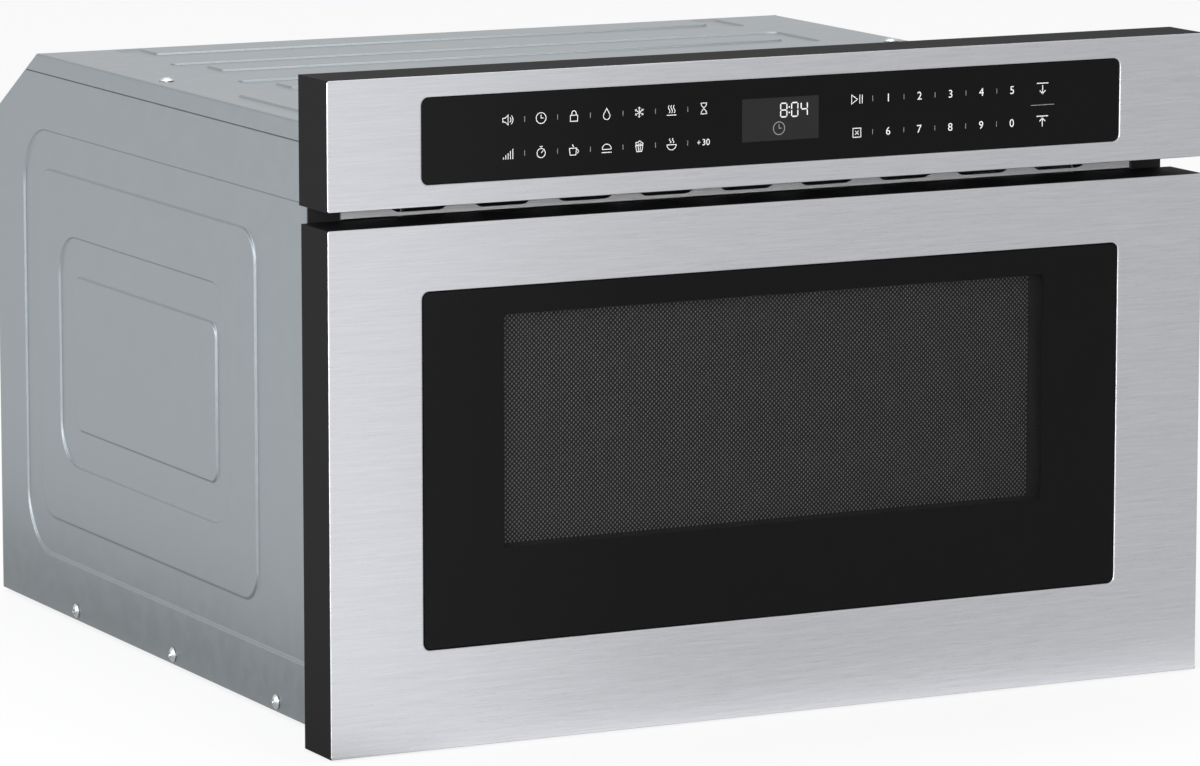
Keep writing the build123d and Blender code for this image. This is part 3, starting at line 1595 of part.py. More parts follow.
bumper_x = half_width - 13.0
bumper_zs = (front_bottom + 11.0, drawer_top - 9.0)
bumper_radius = 4.5
bumper_height = 2.5
with BuildPart() as drawer_bumpers:
    with BuildSketch(facing(drawer_back)):
        with Locations(*[(side * bumper_x, z) for side in (-1, 1) for z in bumper_zs]):
            Circle(bumper_radius)
    extrude(amount=-bumper_height)
    fillet(edges().group_by(Axis.Y)[-1], 0.6)
drawer_bumpers.part.label = "drawer_bumpers"
export_step(drawer_bumpers.part, "parts/drawer_bumpers.step")

# bin: folded tray, open at the top and towards the window, with a rim turned outwards
with BuildPart() as bin_core:
    block(
        both(bin_half - bin_sheet),
        (bin_front - 2 * bin_corner, bin_rear - bin_sheet),
        (bin_low + bin_sheet, bin_high + 2 * bin_corner),
    )
    fillet(edges().filter_by(Axis.Z).group_by(Axis.Y)[-1], bin_corner - bin_sheet)
    fillet(edges().group_by(Axis.Z)[0].group_by(Axis.Y)[1:], bin_floor_corner - bin_sheet)

with BuildPart() as drawer_bin:
    block(both(bin_half), (bin_front, bin_rear), (bin_low, bin_high))
    fillet(edges().filter_by(Axis.Z).group_by(Axis.Y)[-1], bin_corner)
    fillet(edges().group_by(Axis.Z)[0].group_by(Axis.Y)[1:], bin_floor_corner)
    with BuildSketch(Plane.XY.offset(bin_high - bin_sheet)):
        with BuildLine():
            rim_front = drawer_back + choke_cover_sheet + 5.0
            FilletPolyline(
                (-bin_half - bin_rim, rim_front),
                (-bin_half - bin_rim, bin_rear + bin_rim),
                (bin_half + bin_rim, bin_rear + bin_rim),
                (bin_half + bin_rim, rim_front),
                radius=bin_corner + bin_rim,
            )
            Line((bin_half + bin_rim, rim_front), (-bin_half - bin_rim, rim_front))
        make_face()
    extrude(amount=bin_sheet)
    add(bin_core.part, mode=Mode.SUBTRACT)
drawer_bin.part.label = "drawer_bin"
export_step(drawer_bin.part, "parts/drawer_bin.step")

with BuildPart() as glass_tray:
    with BuildSketch(Plane.XY.offset(bin_low + bin_sheet)):
        rect(
            both(bin_half - bin_sheet - tray_gap),
            (bin_front + tray_gap, bin_rear - bin_sheet - tray_gap),
            bin_corner - bin_sheet - tray_gap,
        )
    extrude(amount=tray_sheet)
    fillet(edges().group_by(Axis.Z)[-1], 1.2)
glass_tray.part.label = "glass_tray"
export_step(glass_tray.part, "parts/glass_tray.step")
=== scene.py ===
"""Looks of a built-in microwave drawer: brushed steel fronts, galvanised cabinet, perforated window.

X runs to the viewer's right, Y to the back and Z up. Sizes in this file are millimetres, and turn to metres
where vertices and sockets are written.
"""
import json
import logging
import math
from collections.abc import Callable, Iterable, Sequence
from dataclasses import dataclass, field
from enum import Enum

import bmesh
import bpy
from bpy.types import ID, Material, Mesh, Node, NodeSocket, NodeTree, Object
from mathutils import Matrix, Vector
from mathutils.geometry import delaunay_2d_cdt


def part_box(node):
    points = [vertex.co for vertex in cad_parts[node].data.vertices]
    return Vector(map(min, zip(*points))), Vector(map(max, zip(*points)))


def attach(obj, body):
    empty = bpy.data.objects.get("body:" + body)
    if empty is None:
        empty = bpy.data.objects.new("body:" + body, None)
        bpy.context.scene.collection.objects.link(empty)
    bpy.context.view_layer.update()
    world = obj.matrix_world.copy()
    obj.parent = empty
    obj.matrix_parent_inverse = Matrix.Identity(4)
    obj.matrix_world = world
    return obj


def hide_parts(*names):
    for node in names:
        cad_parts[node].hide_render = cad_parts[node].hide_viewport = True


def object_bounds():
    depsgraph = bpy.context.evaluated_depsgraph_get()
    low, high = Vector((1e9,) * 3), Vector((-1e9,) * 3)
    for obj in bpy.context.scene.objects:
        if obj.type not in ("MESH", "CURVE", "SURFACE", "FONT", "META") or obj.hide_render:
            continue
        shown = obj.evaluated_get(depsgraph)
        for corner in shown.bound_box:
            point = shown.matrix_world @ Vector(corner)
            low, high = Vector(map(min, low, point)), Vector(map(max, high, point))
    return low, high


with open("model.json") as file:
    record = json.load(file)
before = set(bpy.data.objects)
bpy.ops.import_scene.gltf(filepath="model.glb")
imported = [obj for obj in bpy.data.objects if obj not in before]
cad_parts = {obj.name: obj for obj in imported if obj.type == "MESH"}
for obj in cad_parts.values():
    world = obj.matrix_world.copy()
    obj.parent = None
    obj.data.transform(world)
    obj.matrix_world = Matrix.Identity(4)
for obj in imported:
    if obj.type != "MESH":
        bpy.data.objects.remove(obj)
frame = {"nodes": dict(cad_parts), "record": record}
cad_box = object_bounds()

MM = 0.001
FRONT_Y = cad_box[0].y / MM  # plane of the two steel fronts

Point = tuple[float, float]
Triple = tuple[float, float, float]
Loop = list[Point]
Place = Callable[[float, float, float], Vector]

log = logging.getLogger("microwave_drawer")


# ---------------------------------------------------------------- finishes
def linear(code: str) -> tuple[float, float, float, float]:
    """Turns an sRGB hex colour to linear light.

    Args:
        code: Colour as "#rrggbb".

    Returns:
        Red, green, blue and an alpha of one.
    """
    parts = [int(code[i : i + 2], 16) / 255 for i in (1, 3, 5)]
    light = [p / 12.92 if p <= 0.04045 else ((p + 0.055) / 1.055) ** 2.4 for p in parts]
    return (*light, 1.0)


def add_node(tree: NodeTree, kind: str, inputs: dict | None = None, **settings) -> Node:
    """Adds a node with its settings, and sets or links its inputs.

    Args:
        tree: Shader or geometry tree.
        kind: Type name of the node.
        inputs: Socket name or index to a value, to an output socket, to a node for its first output, or to a
            list of them.
        settings: Properties of the node.

    Returns:
        The node.
    """
    node = tree.nodes.new(kind)
    for name, value in settings.items():
        setattr(node, name, value)
    for key, value in (inputs or {}).items():
        sources = value if isinstance(value, list) else [value]
        for source in sources:
            source = source.outputs[0] if isinstance(source, Node) else source
            if isinstance(source, NodeSocket):
                tree.links.new(source, node.inputs[key])
            else:
                node.inputs[key].default_value = source
    return node


# Inputs of a node that maps a value from one range to another.
RANGE = ("Value", "From Min", "From Max", "To Min", "To Max")


class Pattern(Enum):
    """Procedural pattern of a layer."""

    NOISE = "ShaderNodeTexNoise"
    CELLS = "ShaderNodeTexVoronoi"


@dataclass(frozen=True)
class Layer:
    """One pattern in a surface, and what it varies.

    Attributes:
        size: Size of the pattern in millimetres, along X, Y and Z or the same each way.
        pattern: Kind of pattern.
        tone: Share of the colour's brightness that it varies, each way.
        roughness: Change of roughness, each way.
        relief: Height in millimetres.
        detail: Octaves of a noise.
    """

    size: Triple | float
    pattern: Pattern = Pattern.NOISE
    tone: float = 0.0
    roughness: float = 0.0
    relief: float = 0.0
    detail: float = 2.0

    def value(self, tree: NodeTree, place: NodeSocket) -> NodeSocket:
        """Adds the pattern to a shader.

        Args:
            tree: The shader's tree.
            place: Object coordinates.

        Returns:
            The pattern's value, centred on a half.
        """
        sizes = self.size if isinstance(self.size, tuple) else (self.size,) * 3
        scale = tuple(1 / (size * MM) for size in sizes)
        at = add_node(tree, "ShaderNodeMapping", {"Vector": place, "Scale": scale}).outputs[0]
        if self.pattern is Pattern.NOISE:
            inputs = {"Vector": at, "Scale": 1.0, "Detail": self.detail, "Roughness": 0.6}
            return add_node(tree, self.pattern.value, inputs).outputs[0]
        cells = add_node(tree, self.pattern.value, {"Vector": at, "Scale": 1.0})
        return add_node(tree, "ShaderNodeSeparateColor", {0: cells.outputs["Color"]}).outputs[0]


@dataclass(frozen=True)
class Finish:
    """A surface, from its base colour and gloss to the patterns in it.

    Attributes:
        name: The real material.
        colour: sRGB hex.
        metallic: From zero to one for a metal.
        roughness: Roughness of its gloss.
        ior: Index of refraction of what isn't metal.
        specular: Strength of its reflection.
        coat: Share of a clear coat.
        alpha: How much of what lies behind it is hidden.
        glow: Strength of its own light, as of a lit mark.
        grain: How far brushing along X stretches its highlights upwards.
        layers: Patterns, coarse or fine.
    """

    name: str
    colour: str
    metallic: float = 0.0
    roughness: float = 0.5
    ior: float = 1.5
    specular: float = 0.5
    coat: float = 0.0
    alpha: float = 1.0
    glow: float = 0.0
    grain: float = 0.0
    layers: tuple[Layer, ...] = ()

    def material(self) -> Material:
        """Gives this finish's material, made the first time that it is asked for."""
        return bpy.data.materials.get(self.name) or self._build()

    def _build(self) -> Material:
        """Builds the shader.

        Returns:
            The new material.
        """
        material = bpy.data.materials.new(self.name)
        material.use_nodes = True
        material.diffuse_color = linear(self.colour)
        tree = material.node_tree
        tree.nodes.clear()
        inputs = {
            "Base Color": linear(self.colour), "Metallic": self.metallic, "Roughness": self.roughness,
            "Specular IOR Level": self.specular, "Coat Weight": self.coat, "Alpha": self.alpha
        }
        if not self.metallic:
            inputs["IOR"] = self.ior
        if self.glow:
            inputs |= {"Emission Color": linear(self.colour), "Emission Strength": self.glow}
        if self.grain:
            tangent = add_node(tree, "ShaderNodeTangent", direction_type="RADIAL", axis="Z").outputs[0]
            inputs |= {"Anisotropic": self.grain, "Anisotropic Rotation": 0.25, "Tangent": tangent}
        shader = add_node(tree, "ShaderNodeBsdfPrincipled", inputs)
        add_node(tree, "ShaderNodeOutputMaterial", {"Surface": shader.outputs[0]})
        place = add_node(tree, "ShaderNodeTexCoord").outputs["Object"]
        colour = rough = normal = None
        for layer in self.layers:
            value = layer.value(tree, place)
            if layer.tone:
                tone = self._spread(tree, value, 1.0, layer.tone)
                mix = {0: 1.0, 6: colour or linear(self.colour), 7: tone}
                mixed = add_node(tree, "ShaderNodeMix", mix, data_type="RGBA", blend_type="MULTIPLY")
                colour = mixed.outputs[2]
                tree.links.new(colour, shader.inputs["Base Color"])
            if layer.roughness:
                change = self._spread(tree, value, 0.0, layer.roughness)
                rough = add_node(tree, "ShaderNodeMath", {0: rough or self.roughness, 1: change}).outputs[0]
                tree.links.new(rough, shader.inputs["Roughness"])
            if layer.relief:
                inputs = {"Height": value, "Distance": layer.relief * MM, "Strength": 1.0}
                if normal:
                    inputs["Normal"] = normal
                normal = add_node(tree, "ShaderNodeBump", inputs).outputs[0]
                tree.links.new(normal, shader.inputs["Normal"])
        return material

    @staticmethod
    def _spread(tree: NodeTree, value: NodeSocket, middle: float, reach: float) -> NodeSocket:
        """Spreads a pattern's value over a range.

        Args:
            tree: The shader's tree.
            value: The pattern.
            middle: Middle of the range.
            reach: Half of the range.

        Returns:
            The output socket.
        """
        # Nearly all of a pattern's values lie between a quarter and three quarters.
        inputs = dict(zip(RANGE, (value, 0.25, 0.75, middle - reach, middle + reach)))
        return add_node(tree, "ShaderNodeMapRange", inputs).outputs[0]


# Thin steel, etched and painted black: dull, a shade lighter than the print around it.
BLACK_SCREEN = Finish(
    "black_painted_screen", "#2b2b2c", roughness=0.6, specular=0.3,
    layers=(Layer(5.0, tone=0.04, roughness=0.05),)
)
# Galvanised sheet of the vent strip, left bright: a pale silky grey.
BRIGHT_STEEL = Finish(
    "bright_zinc_steel", "#f0f1f2", metallic=0.1, roughness=0.5,
    layers=(Layer(1.4, tone=0.015, relief=0.0015),)
)
# Zinc-plated screw steel: bright, with soft plating marks.
ZINC_SCREW = Finish(
    "zinc_plated_screw", "#c4c7c9", metallic=1.0, roughness=0.36,
    layers=(Layer(0.9, tone=0.05, roughness=0.06, relief=0.004),)
)
# Black border of the window, fused into the glass: as smooth as the glass, a shade greyer than the controls.
BLACK_FRIT = Finish(
    "black_ceramic_frit", "#0f0f0f", roughness=0.06, ior=1.52, specular=0.1,
    layers=(Layer(60.0, roughness=0.015, tone=0.03),)
)
# Screen ink of the key legends and the lit time: flat, nearly white, with a faint glow that is the lit
# digits' own light and painted light on the printed key legends.
GLOWING_LEGEND_INK = Finish("white_screen_ink", "#dedede", roughness=0.6, glow=0.06, layers=(Layer(0.3, tone=0.02),))
# The same ink thinned to grey for the separators and the unlit symbol.
GREY_INK = Finish("grey_screen_ink", "#8a8c8e", roughness=0.6, layers=(Layer(0.3, tone=0.03),))
# Display pane: the black print left thin, so that the lit module greys it.
DISPLAY_PANE = Finish(
    "thin_printed_display_pane", "#262626", roughness=0.08, specular=0.12, layers=(Layer(12.0, tone=0.03),)
)

SLOT_FINISHES: dict[str, Finish] = {
    # Stainless sheet brushed along X. The grit leaves lines of 0.02 mm, drawn about 0.5 mm coarse so that
    # they show, and the eye sees a satin sheen with fine level streaks.
    "stainless": Finish(
        "brushed_stainless_steel", "#e3e4e9", metallic=1.0, roughness=0.3, grain=0.8,
        layers=(
            Layer((22.0, 22.0, 0.5), tone=0.09, roughness=0.05, detail=4.0),
            Layer((70.0, 70.0, 2.2), tone=0.03, detail=3.0)
        )
    ),
    # Hot-dip galvanised steel, skin-passed: a dull satin grey with hardly any spangle.
    "galvanised": Finish(
        "galvanised_steel", "#90979b", metallic=1.0, roughness=0.36,
        layers=(Layer(9.0, Pattern.CELLS, tone=0.012, roughness=0.015), Layer(1.1, tone=0.012, relief=0.0015))
    ),
    # Powder-coated steel: a fine orange peel that breaks up its reflections.
    "flange_black": Finish(
        "black_powder_coat", "#1b1b1c", roughness=0.5, specular=0.35,
        layers=(Layer(1.6, relief=0.012, roughness=0.05),)
    ),
    "vent_silver": BRIGHT_STEEL,
    # Moulded ABS with a fine spark-eroded grain: matt black that greys at a grazing view.
    "frame_black": Finish(
        "black_moulded_abs", "#161616", roughness=0.68, ior=1.4, specular=0.1,
        layers=(Layer(0.7, relief=0.012, roughness=0.06, tone=0.04),)
    ),
    # Toughened float glass, back-printed black: mirror smooth, and it reads as deep black.
    "control_glass": Finish(
        "black_back_printed_glass", "#0b0b0b", roughness=0.06, ior=1.52, specular=0.14,
        layers=(Layer(60.0, roughness=0.015, tone=0.03),)
    ),
    # Tinted float glass: lets a part of the light through, and greys what lies behind it.
    "window_glass": Finish(
        "tinted_window_glass", "#0c0c0c", roughness=0.05, ior=1.52, specular=0.16, alpha=0.2,
        layers=(Layer(60.0, roughness=0.012),)
    ),
    # Inner pane, coloured a mid grey as painted light for the lit cavity behind it: light that gets through
    # the screen comes back a mid grey.
    "clear_glass": Finish(
        "grey_coated_inner_glass", "#b4b5b6", roughness=0.35, ior=1.5, alpha=0.95,
        layers=(Layer(0.5, tone=0.05), Layer(40.0, tone=0.05))
    ),
    # White glass ceramic: milky and smooth.
    "tray_ceramic": Finish(
        "white_glass_ceramic", "#e4e6e6", roughness=0.16, coat=0.3,
        layers=(Layer(0.9, tone=0.015), Layer(14.0, relief=0.01))
    ),
    "screen_black": BLACK_SCREEN,
    # Vitreous enamel, light grey with fine specks and a soft ripple.
    "enamel": Finish(
        "grey_speckled_enamel", "#a9abac", roughness=0.28, coat=0.25,
        layers=(Layer(0.8, Pattern.CELLS, tone=0.09), Layer(6.0, relief=0.02))
    ),
    # Cold-rolled steel with a nickel flash: warm grey with faint streaks.
    "choke_steel": Finish(
        "nickelled_steel", "#b4b3b0", metallic=1.0, roughness=0.38,
        layers=(Layer((40.0, 3.0, 3.0), tone=0.03, roughness=0.05),)
    ),
    # Glass-filled polypropylene: dull charcoal with pale fibre flecks.
    "choke_plastic": Finish(
        "charcoal_polypropylene", "#3a3b3d", roughness=0.5,
        layers=(Layer((1.6, 1.6, 0.3), tone=0.08, relief=0.006),)
    ),
    # Zinc-plated and blued rail steel: a cool bright grey with fine lines along it.
    "slide_steel": Finish(
        "zinc_plated_rail", "#b9bfc4", metallic=1.0, roughness=0.3,
        layers=(Layer((1.0, 60.0, 0.6), tone=0.05, roughness=0.06, relief=0.002),)
    ),
    "zinc_screw": ZINC_SCREW,
    # Soft grey silicone rubber: dark and dull, with hardly a highlight.
    "rubber": Finish(
        "grey_silicone_rubber", "#4a4b4d", roughness=0.8, specular=0.3,
        layers=(Layer(0.5, relief=0.01, tone=0.05),)
    ),
    # Epoxy laminate under green solder resist, with the traces' fine relief.
    "circuit_board": Finish(
        "green_circuit_board", "#1f5136", roughness=0.35, coat=0.3,
        layers=(Layer(2.2, Pattern.CELLS, tone=0.16, relief=0.03),)
    ),
    # Smoked polycarbonate over the display: nearly black, with a soft gloss.
    "display": Finish(
        "smoked_polycarbonate", "#26272a", roughness=0.2, layers=(Layer(8.0, tone=0.05, roughness=0.03),)
    ),
    # Varnished silicon-steel laminations: stacked sheets of 0.5 mm, drawn 1 mm so that they show.
    "laminations": Finish(
        "varnished_laminations", "#5d5a57", metallic=0.7, roughness=0.45,
        layers=(Layer((200.0, 1.0, 200.0), tone=0.22, relief=0.05), Layer(6.0, tone=0.08))
    ),
    # Enamelled copper wire of 1 mm, wound level: warm brown, ribbed by its turns.
    "copper_winding": Finish(
        "enamelled_copper_winding", "#a4592e", metallic=0.75, roughness=0.35,
        layers=(Layer((120.0, 120.0, 1.0), tone=0.2, relief=0.12),)
    ),
    # Drawn aluminium can: bright grey with faint upright lines.
    "capacitor_can": Finish(
        "drawn_aluminium_can", "#c9cbcc", metallic=1.0, roughness=0.34,
        layers=(Layer((1.2, 1.2, 30.0), tone=0.04, roughness=0.05),)
    ),
    # Plain rolled aluminium: pale grey with faint rolling lines.
    "aluminium": Finish(
        "rolled_aluminium", "#cfd1d2", metallic=1.0, roughness=0.4,
        layers=(Layer((20.0, 2.0, 2.0), tone=0.03, roughness=0.04),)
    ),
    # Phlogopite mica board: tan flakes pressed flat, with a slight gloss.
    "mica": Finish(
        "mica_board", "#b9a98a", roughness=0.45, coat=0.15,
        layers=(Layer((7.0, 5.0, 3.0), Pattern.CELLS, tone=0.1), Layer(1.2, tone=0.06))
    ),
    # Moulded polyamide switch case: near black, with a faint grain.
    "switch_plastic": Finish(
        "black_polyamide", "#242528", roughness=0.42, layers=(Layer(0.6, relief=0.006, tone=0.04),)
    ),
    # Red acetal plunger: dark red and waxy.
    "plunger_red": Finish(
        "red_acetal", "#9c2620", roughness=0.34, layers=(Layer(1.5, tone=0.05, roughness=0.04),)
    ),
    # Natural acetal: off-white and waxy.
    "acetal": Finish(
        "natural_acetal", "#e6e3d8", roughness=0.38, layers=(Layer(4.0, tone=0.02, roughness=0.05),)
    ),
    # Grey fan-blade polypropylene: mid grey with a soft sheen.
    "fan_plastic": Finish(
        "grey_polypropylene", "#6b6e72", roughness=0.42, layers=(Layer(1.2, tone=0.04, relief=0.006),)
    ),
    # Tinned motor steel: light grey with a soft gloss.
    "motor_steel": Finish(
        "tinned_motor_steel", "#b2b3b4", metallic=1.0, roughness=0.33,
        layers=(Layer((30.0, 1.0, 1.0), tone=0.05, roughness=0.05),)
    ),
    # Heat-proof porcelain and glass of the lamp: warm white.
    "lamp_white": Finish(
        "lamp_porcelain", "#dcdad4", roughness=0.3, layers=(Layer(2.0, tone=0.03, relief=0.004),)
    ),
}
NODE_SLOTS: dict[str, str] = {s["node"]: s["material_slot"] for s in frame["record"]["subparts"]}
NODE_BODIES: dict[str, str] = {
    node: body for body, nodes in frame["record"]["behaviour"]["bodies"].items() for node in nodes
}


# ---------------------------------------------------------------- shapes
@dataclass(frozen=True)
class Extent:
    """Where a CAD node lies, as its limits along each axis in millimetres."""

    x: Point
    y: Point
    z: Point

    @classmethod
    def of(cls, node: str) -> "Extent":
        """Reads a node's limits from the frame."""
        low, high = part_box(node)
        return cls(*[(a / MM, b / MM) for a, b in zip(low, high)])


def link_object(name: str, data: ID) -> Object:
    """Puts an object with this data in the scene."""
    thing = bpy.data.objects.new(name, data)
    bpy.context.scene.collection.objects.link(thing)
    return thing


def evaluated_mesh(thing: Object) -> Mesh:
    """Gives an object's mesh as its modifiers leave it."""
    graph = bpy.context.evaluated_depsgraph_get()
    return bpy.data.meshes.new_from_object(thing.evaluated_get(graph), depsgraph=graph)


def formed_mesh(name: str, form: bmesh.types.BMesh) -> Mesh:
    """Turns a form into a mesh, and frees the form."""
    mesh = bpy.data.meshes.new(name)
    form.to_mesh(mesh)
    form.free()
    return mesh


def add_piece(
    name: str, mesh: Mesh, body: str, finish: Finish, replaces: Iterable[str] = ()
) -> Object:
    """Links a finished mesh as a piece of the object.

    Args:
        name: Name of the piece.
        mesh: Its mesh, in place and in metres.
        body: The body that it rides on.
        finish: Its surface.
        replaces: CAD nodes that it stands for.

    Returns:
        The object.
    """
    mesh.name = name
    mesh.materials.clear()
    mesh.materials.append(finish.material())
    piece = link_object(name, mesh)
    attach(piece, body)
    if replaces:
        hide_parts(*replaces)
    log.info("%s: %d faces", name, len(mesh.polygons))
    return piece


def replace_node(node: str, name: str, mesh: Mesh) -> Object:
    """Links a mesh as the piece that stands for a CAD node, with that node's body, slot and finish.

    Args:
        node: The CAD node.
        name: Name of the piece.
        mesh: Its mesh.

    Returns:
        The object.
    """
    slot = NODE_SLOTS[node]
    return add_piece(name, mesh, NODE_BODIES[node], SLOT_FINISHES[slot], [node])


def smooth(mesh: Mesh, angle: float = 32.0) -> None:
    """Shades a mesh smooth, but for edges sharper than an angle in degrees."""
    mesh.polygons.foreach_set("use_smooth", [True] * len(mesh.polygons))
    mesh.set_sharp_from_angle(angle=math.radians(angle))


def grown(limits: Point, by: float) -> Point:
    """Moves both limits of a span outwards."""
    return (limits[0] - by, limits[1] + by)


def polar(radius: float, angle: float, middle: Point = (0.0, 0.0)) -> Point:
    """Gives the point at a distance and an angle in degrees from another."""
    turn = math.radians(angle)
    return (middle[0] + radius * math.cos(turn), middle[1] + radius * math.sin(turn))


def arc(middle: Point, radius: float, start: float, end: float, steps: int = 16) -> Loop:
    """Traces an arc between two angles in degrees.

    Args:
        middle: Its centre.
        radius: Its radius.
        start: First angle.
        end: Last angle.
        steps: Runs that it is drawn with.

    Returns:
        The points.
    """
    return [polar(radius, start + (end - start) * i / steps, middle) for i in range(steps + 1)]


@dataclass(frozen=True)
class RoundedBox:
    """Rectangle with round corners on a flat blank.

    Attributes:
        u: Limits along the blank's first axis.
        v: Limits along its second axis.
        corner: Radius of the corners.
    """

    u: Point
    v: Point
    corner: float

    def loop(self, grow: float = 0.0, steps: int = 8) -> Loop:
        """Traces the rectangle, counter-clockwise.

        Args:
            grow: How far its edges are moved outwards.
            steps: Runs that a corner is drawn with.

        Returns:
            The points.
        """
        u, v, corner = grown(self.u, grow), grown(self.v, grow), max(self.corner + grow, 0.05)
        centres = [
            (u[1] - corner, v[0] + corner, -90.0), (u[1] - corner, v[1] - corner, 0.0),
            (u[0] + corner, v[1] - corner, 90.0), (u[0] + corner, v[0] + corner, 180.0)
        ]
        return [p for cu, cv, turn in centres for p in arc((cu, cv), corner, turn, turn + 90.0, steps)]

    def distance(self, point: Point) -> float:
        """Measures from the edge to a point, below zero inside."""
        spans = zip(point, (self.u, self.v))
        over = [abs(p - sum(span) / 2) - (span[1] - span[0]) / 2 + self.corner for p, span in spans]
        return math.hypot(*(max(o, 0.0) for o in over)) + min(max(over), 0.0) - self.corner


@dataclass(frozen=True)
class Emboss(RoundedBox):
    """Form that a stamping tool draws in or out of a sheet, measured at the middle of its slope.

    Attributes:
        depth: Height of the form, below zero where it is pressed in.
        slope: Width of its drawn edge.
        level: Areas of the form that keep the height around it.
    """

    depth: float
    slope: float = 1.6
    level: "tuple[Emboss, ...]" = ()

    def share(self, point: Point) -> float:
        """Says how far a point lies in the form: zero outside, one inside, and between them on the slope."""
        share = min(max(0.5 - self.distance(point) / self.slope, 0.0), 1.0)
        return share * share * (3 - 2 * share)

    def height(self, point: Point) -> float:
        """Gives the form's height at a point of the sheet."""
        return self.depth * self.share(point) * math.prod(1 - area.share(point) for area in self.level)

    def loops(self) -> list[Loop]:
        """Gives the lines that the mesh follows across the slope, with a flat one on each side of it."""
        half, flat = self.slope / 2, self.slope / 2 + 0.7
        offsets = (-flat, -half, -half * 0.6, -half * 0.2, half * 0.2, half * 0.6, half, flat)
        own = [self.loop(offset, max(6, int(self.corner / 2.5))) for offset in offsets]
        return own + [loop for area in self.level for loop in area.loops()]


@dataclass(frozen=True)
class RolledEdge(RoundedBox):
    """Edge of a sheet that curls away to the back in a quarter round.

    Attributes:
        radius: Radius of the quarter round.
        outside: Whether the sheet lies outside the rectangle, as around an opening.
    """

    radius: float
    outside: bool = False

    def height(self, point: Point) -> float:
        """Gives the drop of the edge at a point of the sheet."""
        inset = max(self.distance(point) * (1 if self.outside else -1), 0.0)
        if inset >= self.radius:
            return 0.0
        return math.sqrt(max(self.radius**2 - (self.radius - inset) ** 2, 0.0)) - self.radius

    def loops(self) -> list[Loop]:
        """Gives the lines that the mesh follows along the quarter round, with a flat one past it."""
        turns = [self.radius * (1 - math.cos(math.radians(a))) for a in (18.0, 36.0, 54.0, 72.0, 90.0)]
        return [self.loop(i if self.outside else -i) for i in (*turns, self.radius + 0.6)]


def inside(point: Point, loop: Loop) -> bool:
    """Says whether a point lies in a polygon.

    Args:
        point: The point.
        loop: The polygon.

    Returns:
        Whether it lies inside.
    """
    found = False
    last = loop[-1]
    for here in loop:
        if (here[1] > point[1]) != (last[1] > point[1]):
            cross = (last[0] - here[0]) * (point[1] - here[1]) / (last[1] - here[1]) + here[0]
            if point[0] < cross:
                found = not found
        last = here
    return found


@dataclass
class Sheet:
    """Closed solid of formed sheet metal, glass or print.

    Attributes:
        outline: Edge of the flat blank.
        thickness: Thickness towards the back.
        place: Puts a point of the blank, at a height above it, in the object's frame.
        forms: Stampings and rolled edges.
        cuts: Openings.
        guides: More lines that the mesh follows, such as bends.
    """

    outline: Loop
    thickness: float
    place: Place
    forms: Sequence[Emboss | RolledEdge] = ()
    cuts: Sequence[Loop] = ()
    guides: Sequence[Loop] = ()

    def mesh(self, name: str) -> Mesh:
        """Builds the solid.

        Args:
            name: Name of the mesh.

        Returns:
            The mesh, in metres.
        """
        points, faces = self._flat()
        heights = [sum(form.height(p) for form in self.forms) for p in points]
        front = [self.place(*p, h) * MM for p, h in zip(points, heights)]
        back = [self.place(*p, h - self.thickness) * MM for p, h in zip(points, heights)]
        count = len(points)
        sides = {}
        for face in faces:
            for a, b in zip(face, face[1:] + face[:1]):
                sides[(a, b)] = True
        rim = [(b, a, a + count, b + count) for a, b in sides if (b, a) not in sides]
        solid = faces + [tuple(i + count for i in reversed(face)) for face in faces] + rim
        if self._turned():
            solid = [tuple(reversed(face)) for face in solid]
        mesh = bpy.data.meshes.new(name)
        mesh.from_pydata(front + back, [], solid)
        mesh.update()
        smooth(mesh)
        return mesh

    def _flat(self) -> tuple[list[Point], list[tuple[int, ...]]]:
        """Divides the blank into triangles.

        Returns:
            The points and the triangles, counter-clockwise.
        """
        lines = [(loop, True) for loop in (self.outline, *self.cuts)]
        lines += [(loop, True) for form in self.forms for loop in form.loops()]
        lines += [(line, False) for line in self.guides]
        points, edges = [], []
        for line, closed in lines:
            start = len(points)
            points += [Vector(p) for p in line]
            count = len(line)
            edges += [(start + i, start + (i + 1) % count) for i in range(count if closed else count - 1)]
        blank = [list(range(len(self.outline)))]
        found = delaunay_2d_cdt(points, edges, blank, 1, 1e-4)
        flat = [tuple(p) for p in found[0]]
        kept = []
        for face in found[2]:
            middle = tuple(sum(flat[i][k] for i in face) / 3 for k in (0, 1))
            if inside(middle, self.outline) and not any(inside(middle, cut) for cut in self.cuts):
                kept.append(tuple(face))
        used = sorted({i for face in kept for i in face})
        number = {old: new for new, old in enumerate(used)}
        return [flat[i] for i in used], [tuple(number[i] for i in face) for face in kept]

    def _turned(self) -> bool:
        """Says whether the placed sheet faces away from its own front."""
        u, v = self.outline[0]
        here = self.place(u, v, 0.0)
        along = self.place(u + 1e-3, v, 0.0) - here
        across = self.place(u, v + 1e-3, 0.0) - here
        return along.cross(across).dot(self.place(u, v, 1.0) - here) < 0


def facing_front(y: float) -> Place:
    """Places a blank upright, facing the viewer, with its front at this Y."""
    return lambda u, v, h: Vector((u, y - h, v))


def facing_side(side: int, x: float) -> Place:
    """Places a blank upright along the object, facing left (-1) or right (1), this far from its middle."""
    return lambda u, v, h: Vector((side * (x + h), u, v))


def soften_all(radii: dict[str, float]) -> None:
    """Rounds the edges of each CAD node in a table of radii."""
    for node, radius in radii.items():
        soften(node, radius)


